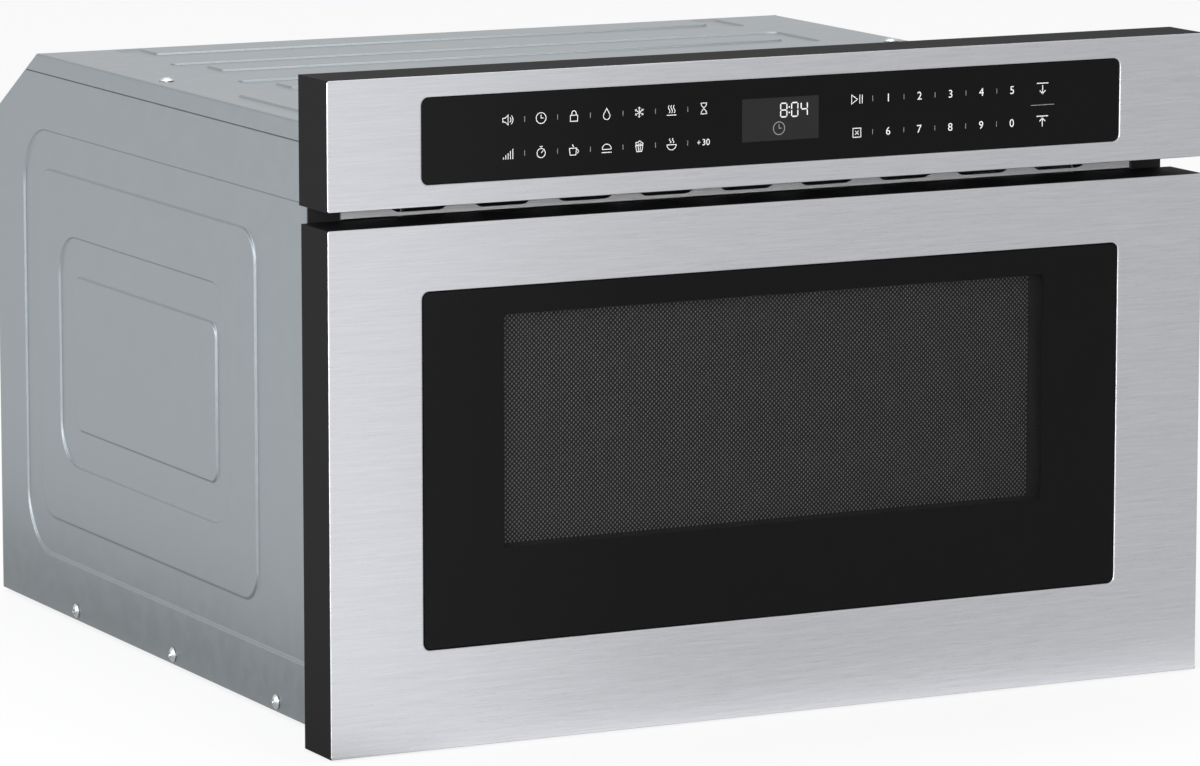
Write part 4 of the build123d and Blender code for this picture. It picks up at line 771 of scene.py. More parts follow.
def soften(node: str, radius: float, angle: float = 35.0) -> None:
    """Replaces a CAD node by a copy of it with rounded edges.

    Args:
        node: The CAD node.
        radius: Radius of the edges.
        angle: Edges that turn by less than this many degrees stay as they are.
    """
    form = bmesh.new()
    form.from_mesh(frame["nodes"][node].data)
    bmesh.ops.remove_doubles(form, verts=form.verts, dist=2e-6)
    bmesh.ops.dissolve_limit(form, angle_limit=math.radians(0.6), verts=form.verts, edges=form.edges)
    mesh = formed_mesh(node, form)
    piece = replace_node(node, f"{node}_finished", mesh)
    smooth(mesh, angle)
    bevel = piece.modifiers.new("rounded_edges", "BEVEL")
    bevel.width = radius * MM
    bevel.segments = 2
    bevel.limit_method = "ANGLE"
    bevel.angle_limit = math.radians(angle)
    bevel.harden_normals = True


# Edge radii of the pieces that keep their CAD shape but for rounded edges.
CABINET_RADII = {
    "rear_panel": 0.9, "base_pan": 0.6, "front_flange": 0.35, "cord_gland": 0.6, "cavity_face": 0.3,
    "exhaust_duct_cover": 0.4, "exhaust_duct_walls": 0.4, "cavity_legs": 0.4, "cavity_back": 0.3
}
CONTROL_RADII = {"control_glass": 0.4, "control_frame": 0.5}
FRONT_RADII = {
    "drawer_frame": 0.5, "window_glass": 0.4, "door_back_plate": 0.4, "choke_cover": 0.7, "choke_ring": 0.3,
    "drawer_bumpers": 0.3, "interlock_actuators": 0.5
}
INSIDE_RADII = {
    "drawer_bin": 0.35, "drawer_arms": 0.4, "drive_rack": 0.2, "slide_supports": 0.4,
    "slide_outer_members": 0.3, "slide_inner_members": 0.3, "interlock_switches": 0.5, "motor_bracket": 0.4,
    "drive_motor": 1.2, "transformer_core": 0.6, "transformer_windings": 2.0, "hv_capacitor": 0.8,
    "waveguide": 0.5, "fan_shroud": 0.4, "fan_motor": 0.8, "magnetron": 0.3, "stirrer_motor": 0.8,
    "power_board": 0.4
}


# ---------------------------------------------------------------- repeated forms
def new_tree(name: str, **inputs: Sequence[str]) -> tuple[NodeTree, Node]:
    """Starts a geometry tree.

    Args:
        name: Name of the tree.
        inputs: Kind of socket, as in its type's name, to the names of the inputs of that kind.

    Returns:
        The tree and its input node.
    """
    tree = bpy.data.node_groups.new(name, "GeometryNodeTree")
    for kind, labels in inputs.items():
        for label in labels:
            tree.interface.new_socket(label, in_out="INPUT", socket_type=f"NodeSocket{kind}")
    tree.interface.new_socket("Geometry", in_out="OUTPUT", socket_type="NodeSocketGeometry")
    return tree, add_node(tree, "NodeGroupInput")


def run_tree(tree: NodeTree, values: dict, base: Mesh | None = None) -> Mesh:
    """Runs a geometry tree and turns its result into a plain mesh.

    Args:
        tree: The tree.
        values: Input name to value.
        base: Mesh that goes in, such as the points of a pattern.

    Returns:
        The mesh.
    """
    carrier = link_object(tree.name, base or bpy.data.meshes.new(tree.name))
    modifier = carrier.modifiers.new(tree.name, "NODES")
    modifier.node_group = tree
    for item in tree.interface.items_tree:
        if item.in_out == "INPUT" and item.name in values:
            modifier[item.identifier] = values[item.name]
    mesh = evaluated_mesh(carrier)
    bpy.data.objects.remove(carrier)
    return mesh


def finish_tree(tree: NodeTree, geometry: Node, source: Node, weld: float) -> None:
    """Gives flat faces their thickness, and ends a tree.

    Args:
        tree: The tree.
        geometry: The node that gives flat faces in the XY plane.
        source: The input node, which has Thickness and Material.
        weld: Distance in millimetres below which points are one.
    """
    flat = add_node(tree, "GeometryNodeRealizeInstances", {0: geometry})
    flat = add_node(tree, "GeometryNodeMergeByDistance", {"Geometry": flat, "Distance": weld * MM})
    raised = add_node(
        tree, "GeometryNodeExtrudeMesh",
        {"Mesh": flat, "Offset Scale": source.outputs["Thickness"], "Individual": False}, mode="FACES"
    )
    under = add_node(tree, "GeometryNodeFlipFaces", {"Mesh": flat})
    both = add_node(tree, "GeometryNodeJoinGeometry", {0: [under, raised]})
    closed = add_node(tree, "GeometryNodeMergeByDistance", {"Geometry": both, "Distance": weld * MM})
    end_tree(tree, closed, source)


def end_tree(tree: NodeTree, geometry: Node, source: Node) -> None:
    """Ends a tree in real meshes with their material.

    Args:
        tree: The tree.
        geometry: The node that gives the result so far.
        source: The input node, which has Material.
    """
    real = add_node(tree, "GeometryNodeRealizeInstances", {0: geometry})
    inputs = {"Geometry": real, "Material": source.outputs["Material"]}
    dressed = add_node(tree, "GeometryNodeSetMaterial", inputs)
    add_node(tree, "NodeGroupOutput", {0: dressed})


def upright_mesh(mesh: Mesh, x: float, y: float, z: float) -> Mesh:
    """Turns a mesh from the XY plane to face the viewer, and moves its origin to a point."""
    mesh.transform(Matrix.Translation(Vector((x, y, z)) * MM) @ Matrix.Rotation(math.radians(90), 4, "X"))
    return mesh


@dataclass
class Fasteners:
    """Pan-head cross-recess screws, as a pattern of one head.

    Attributes:
        head_radius: Radius of the head.
        head_height: Height of the head.
        rim: Height of the head's upright edge.
        edge: Chamfer under the head.
        shank_radius: Radius of the thread.
        shank: Length below the head.
        sides: Faces around it.
        recess: Length and width of the cross, at the top.
        recess_floor: The same at its floor.
        recess_rise: How far the tool that cuts the cross stands out of the head.
        recess_depth: Height of that tool.
    """

    head_radius: float = 4.8
    head_height: float = 2.5
    rim: float = 0.6
    edge: float = 0.25
    shank_radius: float = 1.95
    shank: float = 7.0
    sides: int = 28
    recess: Point = (5.4, 1.2)
    recess_floor: Point = (2.43, 0.84)
    recess_rise: float = 0.5
    recess_depth: float = 2.4

    def profile(self) -> Loop:
        """Traces the screw's half section from the tip to the crown, as radii and heights."""
        rise = self.head_height - self.rim
        ball = (self.head_radius**2 + rise**2) / (2 * rise)
        line = [(0.0, -self.shank), (self.shank_radius, -self.shank), (self.shank_radius, 0.0)]
        outer = self.head_radius
        line += [(outer - self.edge, 0.0), (outer, self.edge), (outer, self.rim)]
        radii = [outer * (1 - step / 6) for step in range(1, 7)]
        return line + [(r, self.head_height - ball + math.sqrt(ball**2 - r**2)) for r in radii]

    def head(self) -> Object:
        """Builds one screw that stands on its seat at the origin.

        Returns:
            The object, with the cross cut into its head.
        """
        form = bmesh.new()
        rings = []
        for radius, height in self.profile():
            around = arc((0.0, 0.0), radius, 0.0, 360.0, self.sides)[:-1] if radius > 1e-6 else [(0.0, 0.0)]
            rings.append([form.verts.new(Vector((*point, height)) * MM) for point in around])
        for low, high in zip(rings, rings[1:]):
            for i in range(self.sides):
                j = (i + 1) % self.sides
                face = [low[i % len(low)], low[j % len(low)], high[j % len(high)], high[i % len(high)]]
                form.faces.new(list(dict.fromkeys(face)))
        bmesh.ops.recalc_face_normals(form, faces=form.faces)
        blank = link_object("screw_blank", formed_mesh("screw_blank", form))
        for turn in (0, 90):
            cutter = self._cutter(turn)
            cut = blank.modifiers.new("cross", "BOOLEAN")
            cut.object = cutter
            cut.operation = "DIFFERENCE"
            cut.solver = "EXACT"
            blank.data = evaluated_mesh(blank)
            blank.modifiers.clear()
            bpy.data.objects.remove(cutter)
        return blank

    def _cutter(self, turn: float) -> Object:
        """Builds one tapered arm of the cross.

        Args:
            turn: Its turn in degrees.

        Returns:
            The arm.
        """
        arm = bmesh.new()
        bmesh.ops.create_cube(arm, size=1.0)
        top = self.head_height + self.recess_rise
        for vert in arm.verts:
            deep = vert.co.z < 0
            long, wide = self.recess_floor if deep else self.recess
            corner = (math.copysign(long / 2, vert.co.x), math.copysign(wide / 2, vert.co.y))
            place = Vector((*corner, top - self.recess_depth if deep else top))
            vert.co = Matrix.Rotation(math.radians(turn), 3, "Z") @ place * MM
        return link_object("screw_cross", formed_mesh("screw_cross", arm))

    def tree(self) -> NodeTree:
        """Builds the tree that sets a screw on each point.

        Returns:
            The tree, with Geometry, Screw and Material as its inputs.
        """
        inputs = {"Geometry": ["Geometry"], "Object": ["Screw"], "Material": ["Material"]}
        tree, source = new_tree("screw_pattern", **inputs)
        screw = add_node(tree, "GeometryNodeObjectInfo", {"Object": source.outputs["Screw"]})
        named = "GeometryNodeInputNamedAttribute"
        facing = add_node(tree, named, {"Name": "facing"}, data_type="FLOAT_VECTOR")
        turn = add_node(tree, named, {"Name": "turn"}, data_type="FLOAT")
        stand = add_node(tree, "FunctionNodeAlignRotationToVector", {"Vector": facing}, axis="Z")
        spin = add_node(tree, "FunctionNodeAxisAngleToRotation", {"Angle": turn})
        inputs = {"Rotation": stand, "Rotate By": spin}
        turned = add_node(tree, "FunctionNodeRotateRotation", inputs, rotation_space="LOCAL")
        points, screw = source.outputs["Geometry"], screw.outputs["Geometry"]
        inputs = {"Points": points, "Instance": screw, "Rotation": turned}
        placed = add_node(tree, "GeometryNodeInstanceOnPoints", inputs)
        end_tree(tree, placed, source)
        return tree

    def mesh(self, seats: Sequence[tuple[Vector, Vector]]) -> Mesh:
        """Sets a screw on each seat.

        Args:
            seats: The middle of each seat and the way its head faces.

        Returns:
            The mesh of all of them.
        """
        points = bpy.data.meshes.new("screw_seats")
        points.from_pydata([seat * MM for seat, _ in seats], [], [])
        facing = points.attributes.new("facing", "FLOAT_VECTOR", "POINT")
        facing.data.foreach_set("vector", [part for _, way in seats for part in way])
        turn = points.attributes.new("turn", "FLOAT", "POINT")
        # Each is stopped at a turn of its own.
        turn.data.foreach_set("value", [1.9 * i for i in range(len(seats))])
        screw = self.head()
        mesh = run_tree(self.tree(), {"Screw": screw, "Material": ZINC_SCREW.material()}, points)
        bpy.data.objects.remove(screw)
        smooth(mesh, 30.0)
        return mesh


@dataclass
class Perforation:
    """Staggered round holes in a thin sheet.

    Attributes:
        pitch: From a hole to the next in its row, and from a row to the next but one.
        radius: Radius of a hole.
        columns: Holes in a row.
        rows: Rows, without the ones between them.
        fields: Pieces that the pattern is divided into.
    """

    pitch: float = 2.97
    radius: float = 0.80
    columns: int = 123
    rows: int = 48
    fields: int = 3

    def tree(self) -> NodeTree:
        """Builds the tree that makes one field.

        Returns:
            The tree, with its sizes as inputs.
        """
        sizes = ["Pitch", "Radius", "Thickness"]
        counts = ["Columns", "Rows"]
        tree, source = new_tree("perforated_field", Int=counts, Float=sizes, Material=["Material"])
        pitch, radius, columns, rows = (source.outputs[k] for k in ("Pitch", "Radius", "Columns", "Rows"))
        half = add_node(tree, "ShaderNodeMath", {0: pitch, 1: 0.5}, operation="MULTIPLY")
        circle = "GeometryNodeCurvePrimitiveCircle"
        cell = add_node(tree, circle, {"Resolution": 4, "Radius": half})
        hole = add_node(tree, circle, {"Resolution": 8, "Radius": radius})
        loops = add_node(tree, "GeometryNodeJoinGeometry", {0: [cell, hole]})
        patch = add_node(tree, "GeometryNodeFillCurve", {"Curve": loops})
        fewer = add_node(tree, "ShaderNodeMath", {0: rows, 1: 1.0}, operation="SUBTRACT")
        grids = []
        for count in (rows, fewer):
            spans = []
            for number in (columns, count):
                gaps = add_node(tree, "ShaderNodeMath", {0: number, 1: 1.0}, operation="SUBTRACT")
                spans.append(add_node(tree, "ShaderNodeMath", {0: gaps, 1: pitch}, operation="MULTIPLY"))
            inputs = {"Size X": spans[0], "Size Y": spans[1], "Vertices X": columns, "Vertices Y": count}
            grids.append(add_node(tree, "GeometryNodeMeshGrid", inputs))
        shift = add_node(tree, "ShaderNodeCombineXYZ", {"X": half})
        between = add_node(tree, "GeometryNodeTransform", {"Geometry": grids[1], "Translation": shift})
        points = add_node(tree, "GeometryNodeJoinGeometry", {0: [grids[0], between]})
        placed = add_node(tree, "GeometryNodeInstanceOnPoints", {"Points": points, "Instance": patch})
        finish_tree(tree, placed, source, 0.05)
        return tree

    def edge(self, middle: Point) -> Loop:
        """Traces the toothed edge of the whole pattern.

        Args:
            middle: Middle of the pattern's columns and rows.

        Returns:
            The points, counter-clockwise.
        """
        half = self.pitch / 2
        low_u = middle[0] - (self.columns - 1) * half
        low_v = middle[1] - (self.rows - 1) * half
        last_u, last_v = 2 * (self.columns - 1), 2 * (self.rows - 1)
        grid = [(k, -1 if k % 2 == 0 else 0) for k in range(0, last_u + 1)]
        grid += [(last_u + (1 if k % 2 == 0 else 2), k) for k in range(0, last_v + 1)]
        grid += [(k, last_v + (1 if k % 2 == 0 else 0)) for k in range(last_u, -1, -1)]
        grid += [(-1 if k % 2 == 0 else 0, k) for k in range(last_v, -1, -1)]
        return [(low_u + u * half, low_v + v * half) for u, v in grid]

    def meshes(self, middle: Point, y: float, thickness: float) -> list[Mesh]:
        """Makes the fields.

        Args:
            middle: Middle of the pattern along X and Z.
            y: Front of the sheet.
            thickness: Thickness of the sheet.

        Returns:
            One mesh for each field.
        """
        tree = self.tree()
        meshes = []
        done = 0
        for number in range(self.fields):
            count = (self.columns - done) // (self.fields - number)
            values = {
                "Columns": count, "Rows": self.rows, "Pitch": self.pitch * MM, "Radius": self.radius * MM,
                "Thickness": thickness * MM, "Material": BLACK_SCREEN.material()
            }
            start = middle[0] + (done - (self.columns - 1) / 2) * self.pitch
            x = start + (count - 1) / 2 * self.pitch
            mesh = run_tree(tree, values)
            meshes.append(upright_mesh(mesh, x, y + thickness, middle[1]))
            done += count
        return meshes


# ---------------------------------------------------------------- cabinet
PAST = 80.0  # how far a stamping that runs out over a sheet's edge goes past it
SHARP = 0.1  # corner radius of a form whose corners lie past the sheet


@dataclass
class Cabinet:
    """Galvanised body: stamped side panels, top cover, rear panel, base and its screws.

    Attributes:
        sheet: Thickness of the body's sheet.
        stamp: Depth of the stampings.
        bend: Radius of a bend.
        seam_gap: Open line between the top cover's flange and a side panel.
        sloped_depth: How far the sloped rear corner reaches forward.
        sloped_drop: How far it drops.
        side_floor: Lower edge of a side's recess above the panel's lower edge.
        side_top: Upper edge of the recess below the top.
        side_back: Rear edge of the recess before the back.
        side_steps: Steps inwards at the front, rear, lower and upper edge: from the fronts' plane and the
            recess to the raised field, from that to the sunk ring and from that to the plate in it.
        side_corners: Corner radii of the recess, the field, the ring and the plate.
        groove_side: Ends of the top's grooves from a side.
        groove_width: From a groove's edge to the island in it, across.
        groove_step: The same along the object.
        groove_rows: Front and rear edge of each groove before the sloped corner, and its island's depth.
        groove_corners: Corner radii of an island and of a groove.
        run_out: Where the last groove's floor starts to rise before the sloped corner, and over what width.
        raised_side: From a side to the top's raised front field.
        raised_depth: Depth of that field behind the fronts.
        raised_corner: Its corner radius.
        slots: Slots in the vent strip.
        slot_pitch: From a slot to the next.
        slot_size: Length and height of a slot.
        slot_low: Lower edge of the slots above the strip's lower edge.
        side_screws: Places of the sides' lower screws behind the fronts.
        side_screw_rise: Their height above the drawer front's lower edge.
        top_screw: Place of a top screw, from the side and behind the fronts.
        rear_screw: Place of an outer rear screw, from the side and above the panel's lower edge.
    """

    sheet: float = 1.0
    stamp: float = 1.2
    bend: float = 1.6
    seam_gap: float = 0.08
    sloped_depth: float = 74.6
    sloped_drop: float = 44.0
    side_floor: float = 37.3
    side_top: float = 49.7
    side_back: float = 47.3
    side_steps: tuple[tuple[float, float, float, float], ...] = (
        (166.2, 25.7, 25.5, 25.6), (40.3, 35.1, 40.2, 40.3), (21.0, 25.5, 25.5, 25.5)
    )
    side_corners: tuple[float, float, float, float] = (40.0, 20.0, 28.0, 9.0)
    groove_side: float = 52.8
    groove_width: float = 18.5
    groove_step: float = 21.5
    groove_rows: tuple[Triple, ...] = ((275.2, 205.7, 29.0), (165.0, 95.5, 29.0), (55.9, -60.0, 90.0))
    groove_corners: Point = (5.0, 7.0)
    run_out: Point = (7.0, 13.0)
    raised_side: float = 19.5
    raised_depth: float = 235.0
    raised_corner: float = 4.0
    slots: int = 9
    slot_pitch: float = 55.8
    slot_size: Point = (41.5, 16.0)
    slot_low: float = 2.0
    side_screws: tuple[float, ...] = (137.4, 300.3, 463.2)
    side_screw_rise: float = 7.6
    top_screw: Point = (13.5, 332.7)
    rear_screw: Point = (40.0, 8.0)
    fasteners: Fasteners = field(default_factory=Fasteners)

    def __post_init__(self) -> None:
        """Reads the body's limits from the frame."""
        self.side = Extent.of("side_panel_left")
        self.cover = Extent.of("top_cover")
        self.rear = Extent.of("rear_panel")
        self.half = -self.side.x[0]
        self.top = self.rear.z[1]
        self.front = self.side.y[0]
        self.back = self.rear.y[1]
        self.crease = self.back - self.sloped_depth
        self.seam = self.cover.z[0]

    def slope_y(self, z: float) -> float:
        """Gives the sloped corner's inner Y at a height."""
        length = math.hypot(self.sloped_depth, self.sloped_drop)
        rise = self.sloped_depth * (z - self.top + self.sloped_drop)
        return self.back - (self.sheet * length + rise) / self.sloped_drop

    def build(self) -> None:
        """Builds every piece of the body."""
        for side, hand in ((-1, "left"), (1, "right")):
            self.side_panel(side, hand)
        self.top_cover()
        self.vent_strip()
        self.screws()
        soften_all(CABINET_RADII)

    def side_panel(self, side: int, hand: str) -> None:
        """Builds a side panel: a recess open to the front, a raised field in it and a sunk ring in that.

        Args:
            side: -1 for the left one, 1 for the right one.
            hand: Its name.
        """
        y = (FRONT_Y, self.back - self.side_back)
        z = (self.side.z[0] + self.side_floor, self.top - self.side_top)
        forms = [Emboss((self.front - PAST, y[1]), z, self.side_corners[0], -self.stamp)]
        for number, (front, back, low, high) in enumerate(self.side_steps, 1):
            y, z = (y[0] + front, y[1] - back), (z[0] + low, z[1] - high)
            forms.append(Emboss(y, z, self.side_corners[number], self.stamp * (1 if number % 2 else -1)))
        joggle_y, joggle_z = (self.front - PAST, self.back + PAST), (self.seam - 0.5, self.top + PAST)
        joggle = Emboss(joggle_y, joggle_z, SHARP, -self.sheet, 1.3)
        top = self.top - self.sheet
        outline = [
            (self.front, self.side.z[0]), (self.back - self.sheet, self.side.z[0]),
            (self.back - self.sheet, self.top - self.sloped_drop - 0.6), (self.slope_y(self.seam), self.seam),
            (self.slope_y(top), top), (self.front, top)
        ]
        sheet = Sheet(outline, self.sheet, facing_side(side, self.half), [*forms, joggle])
        name = f"side_panel_{hand}"
        replace_node(name, f"{name}_stamped", sheet.mesh(name))

    def fold(self, u: float, v: float, h: float) -> Vector:
        """Places a point of the top cover's blank, which folds down over both sides.

        Args:
            u: Across the blank, from its middle.
            v: Along the object.
            h: Above the blank.

        Returns:
            The point in the object's frame.
        """
        flat = self.half - self.bend
        side = math.copysign(1.0, u)
        over = abs(u) - flat
        reach = self.bend * math.pi / 2
        if over <= 0:
            return Vector((u, v, self.top + h))
        if over < reach:
            turn, radius = over / self.bend, self.bend + h
            z = self.top - self.bend + radius * math.cos(turn)
            return Vector((side * (flat + radius * math.sin(turn)), v, z))
        return Vector((side * (self.half + h), v, self.top - self.bend - (over - reach)))

    def top_cover(self) -> None:
        """Builds the top cover: three ring grooves across it and a raised field at its front."""
        groove = self.half - self.groove_side
        island = groove - self.groove_width
        forms = []
        run_y = (self.crease - self.run_out[0], self.crease + PAST)
        run_out = Emboss((-2 * self.half, 2 * self.half), run_y, SHARP, 0.0, self.run_out[1])
        island_corner, corner = self.groove_corners
        for before, after, depth in self.groove_rows:
            front, back = self.crease - before, self.crease - after
            inner_front = front + self.groove_step
            inner = Emboss((-island, island), (inner_front, inner_front + depth), island_corner, 0.0)
            level = (inner, run_out) if back > self.crease else (inner,)
            forms.append(Emboss((-groove, groove), (front, back), corner, -self.stamp, level=level))
        raised, raised_y = self.half - self.raised_side, (self.front - PAST, FRONT_Y + self.raised_depth)
        forms.append(Emboss((-raised, raised), raised_y, self.raised_corner, self.cover.z[1] - self.top))
        reach = self.bend * math.pi / 2
        flat = self.half - self.bend
        end = flat + reach + self.top - self.bend - self.seam - self.seam_gap
        low = self.slope_y(self.seam)
        bends = [flat + reach * k / 5 for k in range(6)]
        edge = [(flat, self.crease), (flat + reach, self.slope_y(self.top - self.bend)), (end, low)]
        outline = [(-end, self.front), (end, self.front)]
        outline += [*reversed(edge)] + [(-u, v) for u, v in edge]
        guides = [[(s * u, self.front), (s * u, self.crease + 40.0)] for u in bends for s in (-1, 1)]
        guides += [[(s * (flat - 0.7), self.front), (s * (flat - 0.7), self.crease)] for s in (-1, 1)]
        sheet = Sheet(outline, self.sheet, self.fold, forms, guides=guides)
        replace_node("top_cover", "top_cover_stamped", sheet.mesh("top_cover"))

    def vent_strip(self) -> None:
        """Builds the bright strip over the slit, with its row of round-ended slots."""
        strip = Extent.of("vent_strip")
        sizes = ["Length", "Height", "Pitch", "Slot Length", "Slot Height", "Slot Rise", "Thickness"]
        tree, source = new_tree("slotted_strip", Int=["Slots"], Float=sizes, Material=["Material"])
        put = source.outputs
        quad = "GeometryNodeCurvePrimitiveQuadrilateral"
        plate = add_node(tree, quad, {"Width": put["Length"], "Height": put["Height"]})
        blank = add_node(tree, quad, {"Width": put["Slot Length"], "Height": put["Slot Height"]})
        end = add_node(tree, "ShaderNodeMath", {0: put["Slot Height"], 1: 0.499}, operation="MULTIPLY")
        inputs = {"Curve": blank, "Radius": end, "Count": 9}
        slot = add_node(tree, "GeometryNodeFilletCurve", inputs, mode="POLY")
        span = add_node(tree, "ShaderNodeMath", {0: put["Slots"], 1: 1.0}, operation="SUBTRACT")
        inputs = {0: span, 1: put["Pitch"]}
        span = add_node(tree, "ShaderNodeMath", inputs, operation="MULTIPLY")
        start = add_node(tree, "ShaderNodeMath", {0: span, 1: -0.5}, operation="MULTIPLY")
        first = add_node(tree, "ShaderNodeCombineXYZ", {"X": start, "Y": put["Slot Rise"]})
        step = add_node(tree, "ShaderNodeCombineXYZ", {"X": put["Pitch"]})
        inputs = {"Count": put["Slots"], "Start Location": first, "Offset": step}
        row = add_node(tree, "GeometryNodeMeshLine", inputs)
        cuts = add_node(tree, "GeometryNodeInstanceOnPoints", {"Points": row, "Instance": slot})
        cuts = add_node(tree, "GeometryNodeRealizeInstances", {0: cuts})
        loops = add_node(tree, "GeometryNodeJoinGeometry", {0: [plate, cuts]})
        face = add_node(tree, "GeometryNodeFillCurve", {"Curve": loops})
        finish_tree(tree, face, source, 0.01)
        height, (slot_length, slot_height) = strip.z[1] - strip.z[0], self.slot_size
        values = {
            "Length": (strip.x[1] - strip.x[0]) * MM, "Height": height * MM, "Slots": self.slots,
            "Pitch": self.slot_pitch * MM, "Slot Length": slot_length * MM, "Slot Height": slot_height * MM,
            "Slot Rise": (self.slot_low + (slot_height - height) / 2) * MM, "Thickness": self.sheet * MM,
            "Material": BRIGHT_STEEL.material()
        }
        mesh = upright_mesh(run_tree(tree, values), 0.0, strip.y[1], sum(strip.z) / 2)
        smooth(mesh)
        replace_node("vent_strip", "vent_strip_slotted", mesh)

    def screws(self) -> None:
        """Sets the body's screws: along the sides' lower edges, on top and at the rear."""
        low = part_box("drawer_frame")[0].z / MM + self.side_screw_rise
        top_x, top_y = self.half - self.top_screw[0], FRONT_Y + self.top_screw[1]
        rear_x, rear_z = self.half - self.rear_screw[0], self.side.z[0] + self.rear_screw[1]
        places = [(side, FRONT_Y + y) for side in (-1, 1) for y in self.side_screws]
        seats = [(Vector((side * self.half, y, low)), Vector((side, 0, 0))) for side, y in places]
        seats += [(Vector((x, top_y, self.top)), Vector((0, 0, 1))) for x in (-top_x, top_x)]
        seats += [(Vector((x, self.back, rear_z)), Vector((0, 1, 0))) for x in (-rear_x, 0.0, rear_x)]
        replace_node("cabinet_screws", "cabinet_screw_set", self.fasteners.mesh(seats))


# ---------------------------------------------------------------- steel fronts
@dataclass
class SteelFront:
    """Brushed skin of a front, curled back at its edge and around its glass.

    Attributes:
        node: The CAD node of the skin.
        glass: The CAD node of the glass in it.
        roll: Radius of the curled edges.
        lap: How far the curled edge reaches over the moulding's rim.
        gap: Gap around the glass.
        corner: Radius of the skin's corners.
        glass_corner: Radius of the opening's corners.
    """

    node: str
    glass: str
    roll: float = 0.7
    lap: float = 1.18
    gap: float = 0.3
    corner: float = 1.5
    glass_corner: float = 4.8

    def build(self) -> None:
        """Builds the skin."""
        skin, glass = Extent.of(self.node), Extent.of(self.glass)
        edge = RolledEdge(grown(skin.x, self.lap), grown(skin.z, self.lap), self.corner, self.roll)
        hole_x, hole_z = grown(glass.x, self.gap), grown(glass.z, self.gap)
        hole = RolledEdge(hole_x, hole_z, self.glass_corner, self.roll, outside=True)
        thickness = skin.y[1] - skin.y[0] - self.roll
        sheet = Sheet(edge.loop(), thickness, facing_front(skin.y[0]), [edge, hole], [hole.loop()])
        replace_node(self.node, f"{self.node}_brushed", sheet.mesh(self.node))


# ---------------------------------------------------------------- printed marks
def wave(x: float, low: float, high: float, reach: float = 0.16) -> Loop:
    """Traces a rising wisp of steam."""
    shares = [i / 12 for i in range(13)]
    return [(x + reach * math.sin(2 * math.pi * share), low + (high - low) * share) for share in shares]


def ring(middle: Point, radius: float) -> Loop:
    """Traces a closed circle."""
    return arc(middle, radius, 0.0, 360.0, 28)


